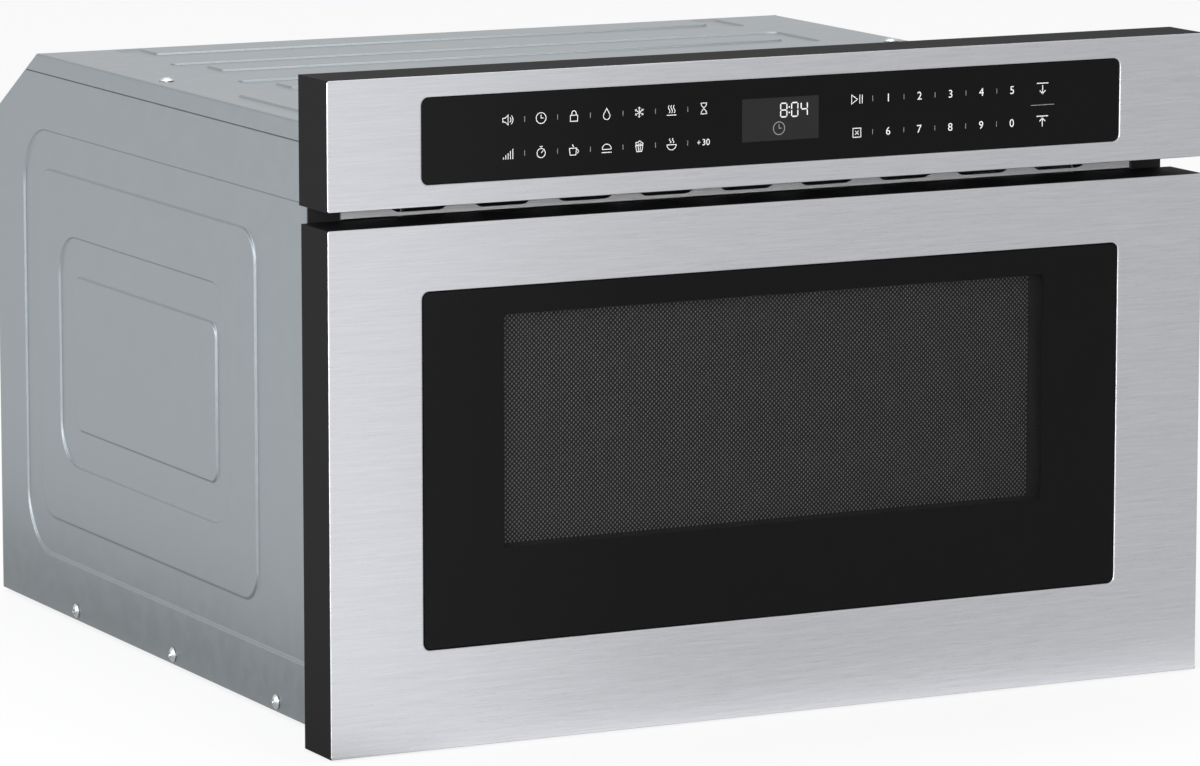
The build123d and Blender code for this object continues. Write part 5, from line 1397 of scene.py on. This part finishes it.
class Mark(Enum):
    """Plain pictogram of a key, as strokes in a box that is two units high."""

    SOUND = [
        [(-1, -0.35), (-0.55, -0.35), (0, -0.85), (0, 0.85), (-0.55, 0.35), (-1, 0.35), (-1, -0.35)],
        arc((0.0, 0.0), 0.55, -50.0, 50.0), arc((0.0, 0.0), 0.95, -50.0, 50.0)
    ]
    CLOCK = [ring((0, 0), 0.95), [(0.0, 0.6), (0.0, 0.0), (0.45, 0.0)]]
    LOCK = [
        [(-0.7, -0.9), (0.7, -0.9), (0.7, 0.15), (-0.7, 0.15), (-0.7, -0.9)],
        [(-0.42, 0.15), *arc((0.0, 0.5), 0.42, 180.0, 0.0), (0.42, 0.15)]
    ]
    DROP = [[(0.0, 1.0), *arc((0.0, -0.3), 0.65, 155.0, 385.0, 20), (0.0, 1.0)]]
    FROST = [[polar(0.95, a), (0.0, 0.0)] for a in range(30, 390, 60)] + [
        [polar(0.26, a + t, polar(0.62, a)), polar(0.62, a)] for a in range(30, 390, 60) for t in (-50, 50)
    ]
    REHEAT = [
        [(-0.95, -0.85), (0.95, -0.85)], wave(-0.5, -0.5, 0.9), wave(0.0, -0.5, 0.9), wave(0.5, -0.5, 0.9)
    ]
    HOURGLASS = [
        [(-0.65, 0.95), (0.65, 0.95)], [(-0.65, -0.95), (0.65, -0.95)],
        [(-0.5, 0.95), (-0.5, 0.6), (0.0, 0.0), (0.5, -0.6), (0.5, -0.95)],
        [(0.5, 0.95), (0.5, 0.6), (0.0, 0.0), (-0.5, -0.6), (-0.5, -0.95)]
    ]
    LEVEL = [[(x, -0.9), (x, -0.5 + 0.35 * n)] for n, x in enumerate((-0.9, -0.45, 0.0, 0.45, 0.9))]
    TIMER = [
        ring((0, -0.15), 0.8), [(-0.3, 1.0), (0.3, 1.0)], [(0.0, 1.0), (0.0, 0.65)],
        [(0.0, -0.15), (0.4, 0.3)]
    ]
    CUP = [
        [(-0.9, 0.35), (-0.75, -0.85), (0.35, -0.85), (0.5, 0.35), (-0.9, 0.35)],
        arc((0.5, -0.2), 0.36, 75.0, -75.0), wave(-0.2, 0.55, 1.0, 0.1)
    ]
    SOFT = [arc((0.0, -0.2), 0.9, 180.0, 0.0), [(-1.0, -0.75), (1.0, -0.75)], [(-0.9, -0.2), (0.9, -0.2)]]
    BUCKET = [
        [(-0.7, 0.1), (-0.5, -0.95), (0.5, -0.95), (0.7, 0.1), (-0.7, 0.1)], [(-0.22, 0.1), (-0.16, -0.95)],
        [(0.22, 0.1), (0.16, -0.95)], ring((-0.42, 0.45), 0.26), ring((0.08, 0.62), 0.28),
        ring((0.5, 0.4), 0.22)
    ]
    BOWL = [
        arc((0.0, -0.1), 0.9, 180.0, 360.0), [(-1.0, -0.1), (1.0, -0.1)], wave(-0.3, 0.2, 1.0),
        wave(0.3, 0.2, 1.0)
    ]
    PLUS = [[(-0.8, 0.0), (0.8, 0.0)], [(0.0, -0.8), (0.0, 0.8)]]
    START = [
        [(-1.1, -0.8), (-1.1, 0.8), (0.1, 0.0), (-1.1, -0.8)], [(0.55, -0.8), (0.55, 0.8)],
        [(1.05, -0.8), (1.05, 0.8)]
    ]
    STOP = [
        [(-0.8, -0.8), (0.8, -0.8), (0.8, 0.8), (-0.8, 0.8), (-0.8, -0.8)], [(-0.35, -0.35), (0.35, 0.35)],
        [(-0.35, 0.35), (0.35, -0.35)]
    ]
    OUTWARD = [
        [(-1.2, 0.95), (1.2, 0.95)], [(0.0, 0.6), (0.0, -0.95)], [(-0.6, -0.35), (0.0, -0.95), (0.6, -0.35)]
    ]
    INWARD = [[(-1.2, 0.95), (1.2, 0.95)], [(0.0, -0.95), (0.0, 0.6)], [(-0.6, 0.0), (0.0, 0.6), (0.6, 0.0)]]


@dataclass
class Print:
    """Ink on a glass, built up of strokes and digits as thin raised solids.

    Attributes:
        y: Face of the glass.
        raised: Height of the ink.
        form: What is printed so far.
    """

    y: float
    raised: float = 0.03
    form: bmesh.types.BMesh = field(default_factory=bmesh.new)

    def _vertex(self, u: float, v: float, h: float) -> bmesh.types.BMVert:
        """Adds a vertex at a place on the glass and a height above it."""
        return self.form.verts.new(Vector((u, self.y - h, v)) * MM)

    def polygon(self, corners: Loop) -> None:
        """Adds a filled shape, with its corners counter-clockwise."""
        front = [self._vertex(u, v, self.raised) for u, v in corners]
        back = [self._vertex(u, v, 0.0) for u, v in corners]
        self.form.faces.new(front)
        self.form.faces.new(list(reversed(back)))
        for i, j in zip(range(len(corners)), [*range(1, len(corners)), 0]):
            self.form.faces.new((front[j], front[i], back[i], back[j]))

    def stroke(self, line: Loop, width: float) -> None:
        """Adds a stroke of even width, mitred at its turns.

        Args:
            line: Its middle line. It closes where its ends meet.
            width: Its width.
        """
        closed = math.dist(line[0], line[-1]) < 1e-6
        points = line[:-1] if closed else line
        count = len(points)
        sides = []
        for i, (u, v) in enumerate(points):
            before = points[i - 1] if i or closed else None
            after = points[(i + 1) % count] if i < count - 1 or closed else None
            ways = []
            for a, b in ((before, (u, v)), ((u, v), after)):
                if a and b:
                    run = math.dist(a, b)
                    ways.append(((b[0] - a[0]) / run, (b[1] - a[1]) / run))
            way = (sum(w[0] for w in ways), sum(w[1] for w in ways))
            size = math.hypot(*way) or 1.0
            across = (-way[1] / size, way[0] / size)
            lean = max(abs(across[0] * -ways[0][1] + across[1] * ways[0][0]), 0.45)
            du, dv = (part * width / 2 / lean for part in across)
            sides.append(((u + du, v + dv), (u - du, v - dv)))
        self._band(sides, closed)

    def _band(self, sides: list[tuple[Point, Point]], closed: bool) -> None:
        """Builds a closed band from its left and right points.

        Args:
            sides: Left and right point at each step.
            closed: Whether its last step joins its first.
        """
        rows = []
        for left, right in sides:
            around = ((*left, self.raised), (*right, self.raised), (*right, 0.0), (*left, 0.0))
            rows.append([self._vertex(*place) for place in around])
        steps = list(zip(rows, rows[1:] + rows[:1])) if closed else list(zip(rows, rows[1:]))
        for here, there in steps:
            for k in range(4):
                m = (k + 1) % 4
                self.form.faces.new((here[k], here[m], there[m], there[k]))
        if not closed:
            self.form.faces.new(list(reversed(rows[0])))
            self.form.faces.new(rows[-1])

    def mark(self, mark: Mark, middle: Point, height: float, width: float) -> None:
        """Adds a pictogram.

        Args:
            mark: Which one.
            middle: Its middle.
            height: Its height.
            width: Width of its strokes.
        """
        for line in mark.value:
            self.stroke([(middle[0] + u * height / 2, middle[1] + v * height / 2) for u, v in line], width)

    def digits(self, text: str, middle: Point, height: float) -> None:
        """Adds plain digits.

        Args:
            text: The digits.
            middle: Middle of the text.
            height: Height of a digit.
        """
        curve = bpy.data.curves.new("digits", "FONT")
        curve.body = text
        curve.align_x = "CENTER"
        curve.resolution_u = 4
        curve.extrude = 0.01
        carrier = link_object("digits", curve)
        mesh = evaluated_mesh(carrier)
        bpy.data.objects.remove(carrier)
        corners = [v.co for v in mesh.vertices]
        low = [min(c[k] for c in corners) for k in (0, 1, 2)]
        high = [max(c[k] for c in corners) for k in (0, 1, 2)]
        scale = height / (high[1] - low[1])
        for vert in mesh.vertices:
            u = middle[0] + (vert.co.x - (low[0] + high[0]) / 2) * scale
            v = middle[1] + (vert.co.y - (low[1] + high[1]) / 2) * scale
            h = self.raised if vert.co.z > 0 else 0.0
            vert.co = Vector((u, self.y - h, v)) * MM
        self.form.from_mesh(mesh)

    def piece(self, name: str, body: str, finish: Finish) -> None:
        """Turns the ink into a piece.

        Args:
            name: Its name.
            body: The body that it rides on.
            finish: Its surface.
        """
        bmesh.ops.remove_doubles(self.form, verts=self.form.verts, dist=1e-7)
        bmesh.ops.recalc_face_normals(self.form, faces=self.form.faces)
        add_piece(name, formed_mesh(name, self.form), body, finish)


# Lit segments of the digits 0 to 9, and each segment's ends in widths and in half heights of a digit.
SEGMENTS = "abcdef bc abged abgcd fgbc afgcd afgedc abc abcdefg abcdfg".split()
SEGMENT_ENDS = {
    "a": ((0, 2), (1, 2)), "b": ((1, 2), (1, 1)), "c": ((1, 1), (1, 0)), "d": ((0, 0), (1, 0)),
    "e": ((0, 1), (0, 0)), "f": ((0, 2), (0, 1)), "g": ((0, 1), (1, 1))
}


@dataclass
class ControlPanel:
    """Black control glass with its keys' marks, digits and the lit display.

    Attributes:
        pitch: From a key to the next.
        rows: Height of the two rows of keys above the glass's lower edge.
        first_mark: Middle of the first column of pictograms.
        first_key: Middle of the column of start and stop.
        mark_height: Height of a pictogram.
        digit_height: Height of a digit key.
        line: Width of a pictogram's strokes.
        rule: Width of the lines between keys.
        dash: Half the height of an upright one.
        bar: Half the length of the level one between the drawer's keys.
        pane_x: Left and right end of the display pane.
        pane_inset: Its lower and upper edge from the glass's.
        time: Lit digits.
        lit: Width and height of a lit digit, and the width of its strokes.
        places: Left edges of the lit digits.
        notch: Gap that a lit stroke keeps to the digit's corner.
        lit_drop: From the pane's upper edge to the lit digits.
        dot: Width and height of the colon's dots.
        plus: Place of the plus from its column's middle, and its height.
        thirty: The same of the digits after it.
        symbol: Place of the unlit clock, across and above the pane's lower edge, and its height.
    """

    pitch: float = 22.0
    rows: Point = (15.2, 35.8)
    first_mark: float = -184.3
    first_key: float = 53.8
    mark_height: float = 6.9
    digit_height: float = 4.9
    line: float = 0.45
    rule: float = 0.35
    dash: float = 1.6
    bar: float = 8.4
    pane_x: Point = (-26.0, 27.0)
    pane_inset: Point = (13.5, 12.0)
    time: str = "804"
    lit: Triple = (4.3, 8.4, 0.75)
    places: Triple = (0.6, 8.2, 14.8)
    notch: float = 0.4
    lit_drop: float = 3.7
    dot: float = 0.9
    plus: Point = (-3.4, 2.8)
    thirty: Point = (1.6, 3.9)
    symbol: Triple = (-0.5, 7.4, 8.2)

    def build(self) -> None:
        """Builds the glass, its print and the frame around it."""
        soften_all(CONTROL_RADII)
        self.glass = Extent.of("control_glass")
        self.low, self.high = (self.glass.z[0] + row for row in self.rows)
        self.white, self.grey = Print(self.glass.y[0]), Print(self.glass.y[0])
        self._function_keys()
        self._number_keys()
        self._display()
        self.white.piece("control_legends", "cabinet", GLOWING_LEGEND_INK)
        self.grey.piece("control_separators", "cabinet", GREY_INK)

    def _function_keys(self) -> None:
        """Prints the seven columns of pictograms on the left."""
        upper = (Mark.SOUND, Mark.CLOCK, Mark.LOCK, Mark.DROP, Mark.FROST, Mark.REHEAT, Mark.HOURGLASS)
        lower = (Mark.LEVEL, Mark.TIMER, Mark.CUP, Mark.SOFT, Mark.BUCKET, Mark.BOWL, Mark.PLUS)
        for marks, z in ((upper, self.high), (lower, self.low)):
            for column, mark in enumerate(marks):
                x = self.first_mark + column * self.pitch
                if mark is Mark.PLUS:
                    self.white.mark(mark, (x + self.plus[0], z), self.plus[1], self.line)
                    self.white.digits("30", (x + self.thirty[0], z), self.thirty[1])
                else:
                    self.white.mark(mark, (x, z), self.mark_height, self.line)
                if column:
                    self._separator(x - self.pitch / 2, z)

    def _number_keys(self) -> None:
        """Prints start and stop, the digits, and the drawer's own two keys on the right."""
        last = self.first_key + 6 * self.pitch
        groups = ((self.high, Mark.START, "12345", Mark.OUTWARD), (self.low, Mark.STOP, "67890", Mark.INWARD))
        for z, key, digits, way in groups:
            self.white.mark(key, (self.first_key, z), self.mark_height, self.line)
            for column, digit in enumerate(digits, 1):
                x = self.first_key + column * self.pitch
                self.white.digits(digit, (x, z), self.digit_height)
                self._separator(x - self.pitch / 2, z)
            self.white.mark(way, (last, z), self.mark_height, self.line * 1.3)
        middle = (self.low + self.high) / 2
        self.grey.stroke([(last - self.bar, middle), (last + self.bar, middle)], self.rule)

    def _separator(self, x: float, z: float) -> None:
        """Prints the short upright line between two keys."""
        self.grey.stroke([(x, z - self.dash), (x, z + self.dash)], self.rule)

    def _display(self) -> None:
        """Prints the display pane, its lit time and the unlit clock symbol."""
        pane = Print(self.glass.y[0], 0.01)
        low, high = self.glass.z[0] + self.pane_inset[0], self.glass.z[1] - self.pane_inset[1]
        left, right = self.pane_x
        pane.polygon([(left, low), (right, low), (right, high), (left, high)])
        pane.piece("display_pane", "cabinet", DISPLAY_PANE)
        wide, tall, width = self.lit
        top = high - self.lit_drop
        for digit, x in zip(self.time, self.places):
            for segment in SEGMENTS[int(digit)]:
                (u0, v0), (u1, v1) = SEGMENT_ENDS[segment]
                shift_u, shift_v = self.notch * (u1 - u0), self.notch * (v1 - v0) / max(abs(v1 - v0), 1)
                start = (x + wide * u0 + shift_u, top - tall + v0 * tall / 2 + shift_v)
                end = (x + wide * u1 - shift_u, top - tall + v1 * tall / 2 - shift_v)
                self.white.stroke([start, end], width)
        colon = (self.places[0] + wide + self.places[1]) / 2
        for z in (top - tall * 0.3, top - tall * 0.7):
            self.white.stroke([(colon, z - self.dot / 2), (colon, z + self.dot / 2)], self.dot)
        x, rise, size = self.symbol
        self.grey.mark(Mark.CLOCK, (x, low + rise), size, 0.5)


# ---------------------------------------------------------------- drawer
@dataclass
class DrawerFront:
    """Drawer front: moulded frame, tinted window with its frit border, and the perforated screen behind it.

    Attributes:
        perforation: Pattern of the screen.
        field_low: Lower edge of the holes above the window's lower edge.
        reveal: Plain screen that shows at the left and right of the holes.
        frit: Thickness of the print.
        glass_corner: Radius of the window's corners.
        bare_edge: Width of the window's edge without print.
        screw_inset: From the front's edge to the back plate's screws.
        screw_end: From the front's lower and upper edge to the end screws of a side.
        screw_row: Places of the lower screws.
    """

    perforation: Perforation = field(default_factory=Perforation)
    field_low: float = 58.2
    reveal: float = 5.0
    frit: float = 0.03
    glass_corner: float = 4.5
    bare_edge: float = 0.45
    screw_inset: float = 17.0
    screw_end: float = 56.0
    screw_row: tuple[float, ...] = (-210.0, -70.0, 70.0, 210.0)
    fasteners: Fasteners = field(default_factory=Fasteners)

    def build(self) -> None:
        """Builds the front's pieces."""
        soften_all(FRONT_RADII)
        window, holes = Extent.of("window_glass"), self.perforation
        middle = (0.0, window.z[0] + self.field_low + holes.rows * holes.pitch / 2)
        self._print(window, middle)
        self._screen(middle)
        self._screws()

    def _print(self, window: Extent, middle: Point) -> None:
        """Prints the black border on the window.

        Args:
            window: Limits of the glass.
            middle: Middle of the holes.
        """
        holes = self.perforation
        half = holes.columns * holes.pitch / 2 + self.reveal
        tall = holes.rows * holes.pitch / 2
        opening = RoundedBox((-half, half), (middle[1] - tall, middle[1] + tall), 2.0).loop(steps=6)
        edge = RoundedBox(window.x, window.z, self.glass_corner).loop(-self.bare_edge)
        sheet = Sheet(edge, self.frit, facing_front(window.y[0] - self.frit), cuts=[opening])
        add_piece("window_print", sheet.mesh("window_print"), "drawer", BLACK_FRIT)

    def _screen(self, middle: Point) -> None:
        """Builds the perforated screen.

        Args:
            middle: Middle of the holes.
        """
        screen = Extent.of("perforated_screen")
        thickness = screen.y[1] - screen.y[0]
        edge, hole = RoundedBox(screen.x, screen.z, 3.0).loop(steps=6), self.perforation.edge(middle)
        border = Sheet(edge, thickness, facing_front(screen.y[0]), cuts=[hole])
        replace_node("perforated_screen", "screen_border", border.mesh("screen_border"))
        for number, mesh in enumerate(self.perforation.meshes(middle, screen.y[0], thickness), 1):
            add_piece(f"screen_field_{number}", mesh, "drawer", BLACK_SCREEN)

    def _screws(self) -> None:
        """Sets the screws that hold the back plate."""
        drawer, plate = Extent.of("drawer_frame"), Extent.of("door_back_plate")
        low, high = (drawer.z[0] + self.screw_end, drawer.z[1] - self.screw_end)
        side_x = drawer.x[1] - self.screw_inset
        places = [(side * side_x, low + row * (high - low) / 3) for side in (-1, 1) for row in range(4)]
        places += [(x, drawer.z[0] + self.screw_inset) for x in self.screw_row]
        seats = [(Vector((x, plate.y[1], z)), Vector((0, 1, 0))) for x, z in places]
        replace_node("door_plate_screws", "plate_screw_set", self.fasteners.mesh(seats))


@dataclass
class Inside:
    """Pieces in the drawer and the cabinet that show when the drawer is open or through the vents."""

    def build(self) -> None:
        """Rounds the edges of each piece."""
        soften_all(INSIDE_RADII)


def dress_nodes() -> None:
    """Gives every CAD node that still shows the finish of its slot."""
    for node, piece in frame["nodes"].items():
        finish = SLOT_FINISHES[NODE_SLOTS[node]]
        piece.data.materials.clear()
        piece.data.materials.append(finish.material())


# ---------------------------------------------------------------- studio
@dataclass
class Softbox:
    """Rectangular lamp aimed at a point of the object. Its places are in metres.

    Attributes:
        name: Its name.
        place: Its middle.
        size: Its width and height.
        power: Watts.
        aim: Where it points.
    """

    name: str
    place: Triple
    size: Point
    power: float
    aim: Triple = (0.0, 0.0, 0.2)

    def build(self) -> None:
        """Adds the lamp."""
        data = bpy.data.lights.new(self.name, "AREA")
        data.shape = "RECTANGLE"
        data.size, data.size_y = self.size
        data.energy = self.power
        lamp = link_object(self.name, data)
        lamp.location = self.place
        lamp.rotation_euler = (Vector(self.aim) - Vector(self.place)).to_track_quat("-Z", "Y").to_euler()


@dataclass
class Studio:
    """White room: floor, surroundings, soft lamps and the camera. Its places are in metres.

    Attributes:
        eye: The camera's place.
        yaw: Its turn to the right of the Y axis, in degrees.
        fall: Its angle below the horizon, in degrees.
        lens: Focal length for a 36 mm wide frame.
        ambient: Light of the surroundings on what isn't glossy.
        mirror: Brightness of the surroundings in reflections.
        shaded: The same in front of the object on its right, where a grey card stands in the surroundings and
            is painted darker on the floor for reflections.
        painted_floor_shade: Brightness of the floor close to the left side in reflections: painted shade that
            stands in for the object's shade there, as its stampings mirror it.
        lamps: The soft lamps.
    """

    eye: Triple = (-1.85896568, -3.73868847, 0.835096444)
    yaw: float = 26.77688838
    fall: float = 9.11734311
    lens: float = 193.474
    ambient: float = 0.85
    mirror: float = 0.94
    shaded: float = 0.46
    painted_floor_shade: float = 0.45
    lamps: tuple[Softbox, ...] = (
        Softbox("top_box", (0.2, 0.6, 2.6), (2.4, 1.6), 23.0),
        Softbox("left_box", (-3.0, 1.2, 0.7), (0.9, 1.8), 26.0),
        Softbox("edge_box", (-2.6, -0.55, 0.75), (0.5, 1.4), 13.0),
        Softbox("slit_box", (-1.9, -2.4, 0.8), (1.6, 0.8), 50.0, (0.0, -0.26, 0.32))
    )

    def build(self) -> None:
        """Builds the room and the camera."""
        for lamp in self.lamps:
            lamp.build()
        self._world()
        self._floor()
        self._camera()

    def _rays(self, tree: NodeTree) -> Node:
        """Says whether a ray comes from the camera, from gloss or through glass.

        Args:
            tree: A shader tree.

        Returns:
            The node that gives one for such a ray, else zero.
        """
        path = add_node(tree, "ShaderNodeLightPath").outputs
        seen = add_node(tree, "ShaderNodeMath", {0: path["Is Glossy Ray"], 1: path["Is Transmission Ray"]})
        return add_node(tree, "ShaderNodeMath", {0: seen, 1: path["Is Camera Ray"]}, use_clamp=True)

    def _world(self) -> None:
        """Makes the surroundings: white where they are seen, a soft grey where they only light."""
        world = bpy.data.worlds.new("studio")
        bpy.context.scene.world = world
        world.use_nodes = True
        tree = world.node_tree
        tree.nodes.clear()
        path = add_node(tree, "ShaderNodeLightPath").outputs
        light = add_node(tree, "ShaderNodeBackground", {"Color": (1, 1, 1, 1), "Strength": self.ambient})
        way = add_node(tree, "ShaderNodeTexCoord").outputs["Generated"]
        parts = add_node(tree, "ShaderNodeSeparateXYZ", {0: way}).outputs
        # Reflections of the room darken a little upwards.
        inputs = dict(zip(RANGE, (parts["Z"], -0.1, 0.9, 1.0, 0.8)))
        shade = add_node(tree, "ShaderNodeMapRange", inputs)
        # The grey card stands on the right, in front of the object only.
        inputs = dict(zip(RANGE, (parts["X"], 0.36, 0.64, self.mirror, self.shaded)))
        side = add_node(tree, "ShaderNodeMapRange", inputs, interpolation_type="SMOOTHSTEP")
        inputs = dict(zip(RANGE, (parts["Y"], -0.2, 0.2, 1.0, 0.0)))
        ahead = add_node(tree, "ShaderNodeMapRange", inputs)
        side = add_node(tree, "ShaderNodeMix", {0: ahead, 2: self.mirror, 3: side})
        shade = add_node(tree, "ShaderNodeMath", {0: shade, 1: side}, operation="MULTIPLY")
        gloss = add_node(tree, "ShaderNodeBackground", {"Color": (1, 1, 1, 1), "Strength": shade})
        white = add_node(tree, "ShaderNodeBackground", {"Color": (1, 1, 1, 1), "Strength": 1.0})
        inputs = {0: path["Is Glossy Ray"], 1: light, 2: gloss}
        mixed = add_node(tree, "ShaderNodeMixShader", inputs)
        inputs = {0: path["Is Camera Ray"], 1: path["Is Transmission Ray"]}
        seen = add_node(tree, "ShaderNodeMath", inputs, use_clamp=True)
        inputs = {0: seen, 1: mixed, 2: white}
        final = add_node(tree, "ShaderNodeMixShader", inputs)
        add_node(tree, "ShaderNodeOutputWorld", {"Surface": final})

    def _floor(self) -> None:
        """Makes a white floor that keeps a faint shadow of the object, and for reflections has painted shade
        in front on the right and along the left side.
        """
        reach = 12.0
        mesh = bpy.data.meshes.new("floor")
        corners = [(-reach, -reach, 0), (reach, -reach, 0), (reach, reach, 0), (-reach, reach, 0)]
        mesh.from_pydata(corners, [], [(0, 1, 2, 3)])
        material = bpy.data.materials.new("white_studio_floor")
        material.use_nodes = True
        tree = material.node_tree
        tree.nodes.clear()
        matt = add_node(tree, "ShaderNodeBsdfDiffuse", {"Color": linear("#e9e9e9")})
        place = add_node(tree, "ShaderNodeTexCoord").outputs["Object"]
        parts = add_node(tree, "ShaderNodeSeparateXYZ", {0: place}).outputs
        # Painted reflection: for glossy rays the floor is painted darker along a line that runs off to the
        # right, as if it mirrored the card.
        inputs = {0: parts["Y"], 1: 0.5, 2: parts["X"]}
        across = add_node(tree, "ShaderNodeMath", inputs, operation="MULTIPLY_ADD")
        inputs = dict(zip(RANGE, (across, -0.49, -0.17, self.mirror, self.shaded)))
        side = add_node(tree, "ShaderNodeMapRange", inputs, interpolation_type="SMOOTHSTEP")
        inputs = dict(zip(RANGE, (parts["Y"], -0.38, -0.3, 1.0, 0.0)))
        ahead = add_node(tree, "ShaderNodeMapRange", inputs)
        gloss = add_node(tree, "ShaderNodeLightPath").outputs["Is Glossy Ray"]
        # Painted shade: in reflections a strip of floor along the object's left side is darker, standing in
        # for the object's shade there, as its stampings mirror it.
        painted_side_shade = add_node(tree, "ShaderNodeMath", {0: parts["X"], 1: 0.33}, operation="ADD")
        painted_side_shade = add_node(tree, "ShaderNodeMath", {0: painted_side_shade}, operation="ABSOLUTE")
        inputs = dict(zip(RANGE, (painted_side_shade, 0.03, 0.12, self.painted_floor_shade, 1.0)))
        painted_side_shade = add_node(tree, "ShaderNodeMapRange", inputs)
        light = add_node(tree, "ShaderNodeMix", {0: ahead, 2: painted_side_shade, 3: side})
        light = add_node(tree, "ShaderNodeMix", {0: gloss, 2: 1.0, 3: light})
        white = add_node(tree, "ShaderNodeEmission", {"Color": (1, 1, 1, 1), "Strength": light})
        share = add_node(tree, "ShaderNodeMath", {0: self._rays(tree), 1: 0.8}, operation="MULTIPLY")
        inputs = {0: share, 1: matt, 2: white}
        mixed = add_node(tree, "ShaderNodeMixShader", inputs)
        add_node(tree, "ShaderNodeOutputMaterial", {"Surface": mixed})
        mesh.materials.append(material)
        floor = link_object("floor", mesh)

    def _camera(self) -> None:
        """Places the camera at the photograph's viewing angle."""
        yaw, fall = math.radians(self.yaw), math.radians(self.fall)
        ahead = Vector((math.sin(yaw) * math.cos(fall), math.cos(yaw) * math.cos(fall), -math.sin(fall)))
        data = bpy.data.cameras.new("camera")
        data.sensor_width = 36.0
        data.lens = self.lens
        data.clip_start, data.clip_end = 0.1, 50.0
        camera = link_object("camera", data)
        camera.location = self.eye
        camera.rotation_euler = ahead.to_track_quat("-Z", "Y").to_euler()
        bpy.context.scene.camera = camera
        bpy.context.scene.view_settings.view_transform = "Standard"


def main() -> None:
    """Builds the sub-assemblies in order, then the room."""
    logging.basicConfig(level=logging.INFO, format="%(name)s %(message)s")
    dress_nodes()
    for part in (
        Cabinet(), SteelFront("control_fascia", "control_glass"), ControlPanel(),
        SteelFront("drawer_skin", "window_glass"), DrawerFront(), Inside(), Studio()
    ):
        part.build()
        log.info("built %s", type(part).__name__)


if __name__ == "__main__":
    main()
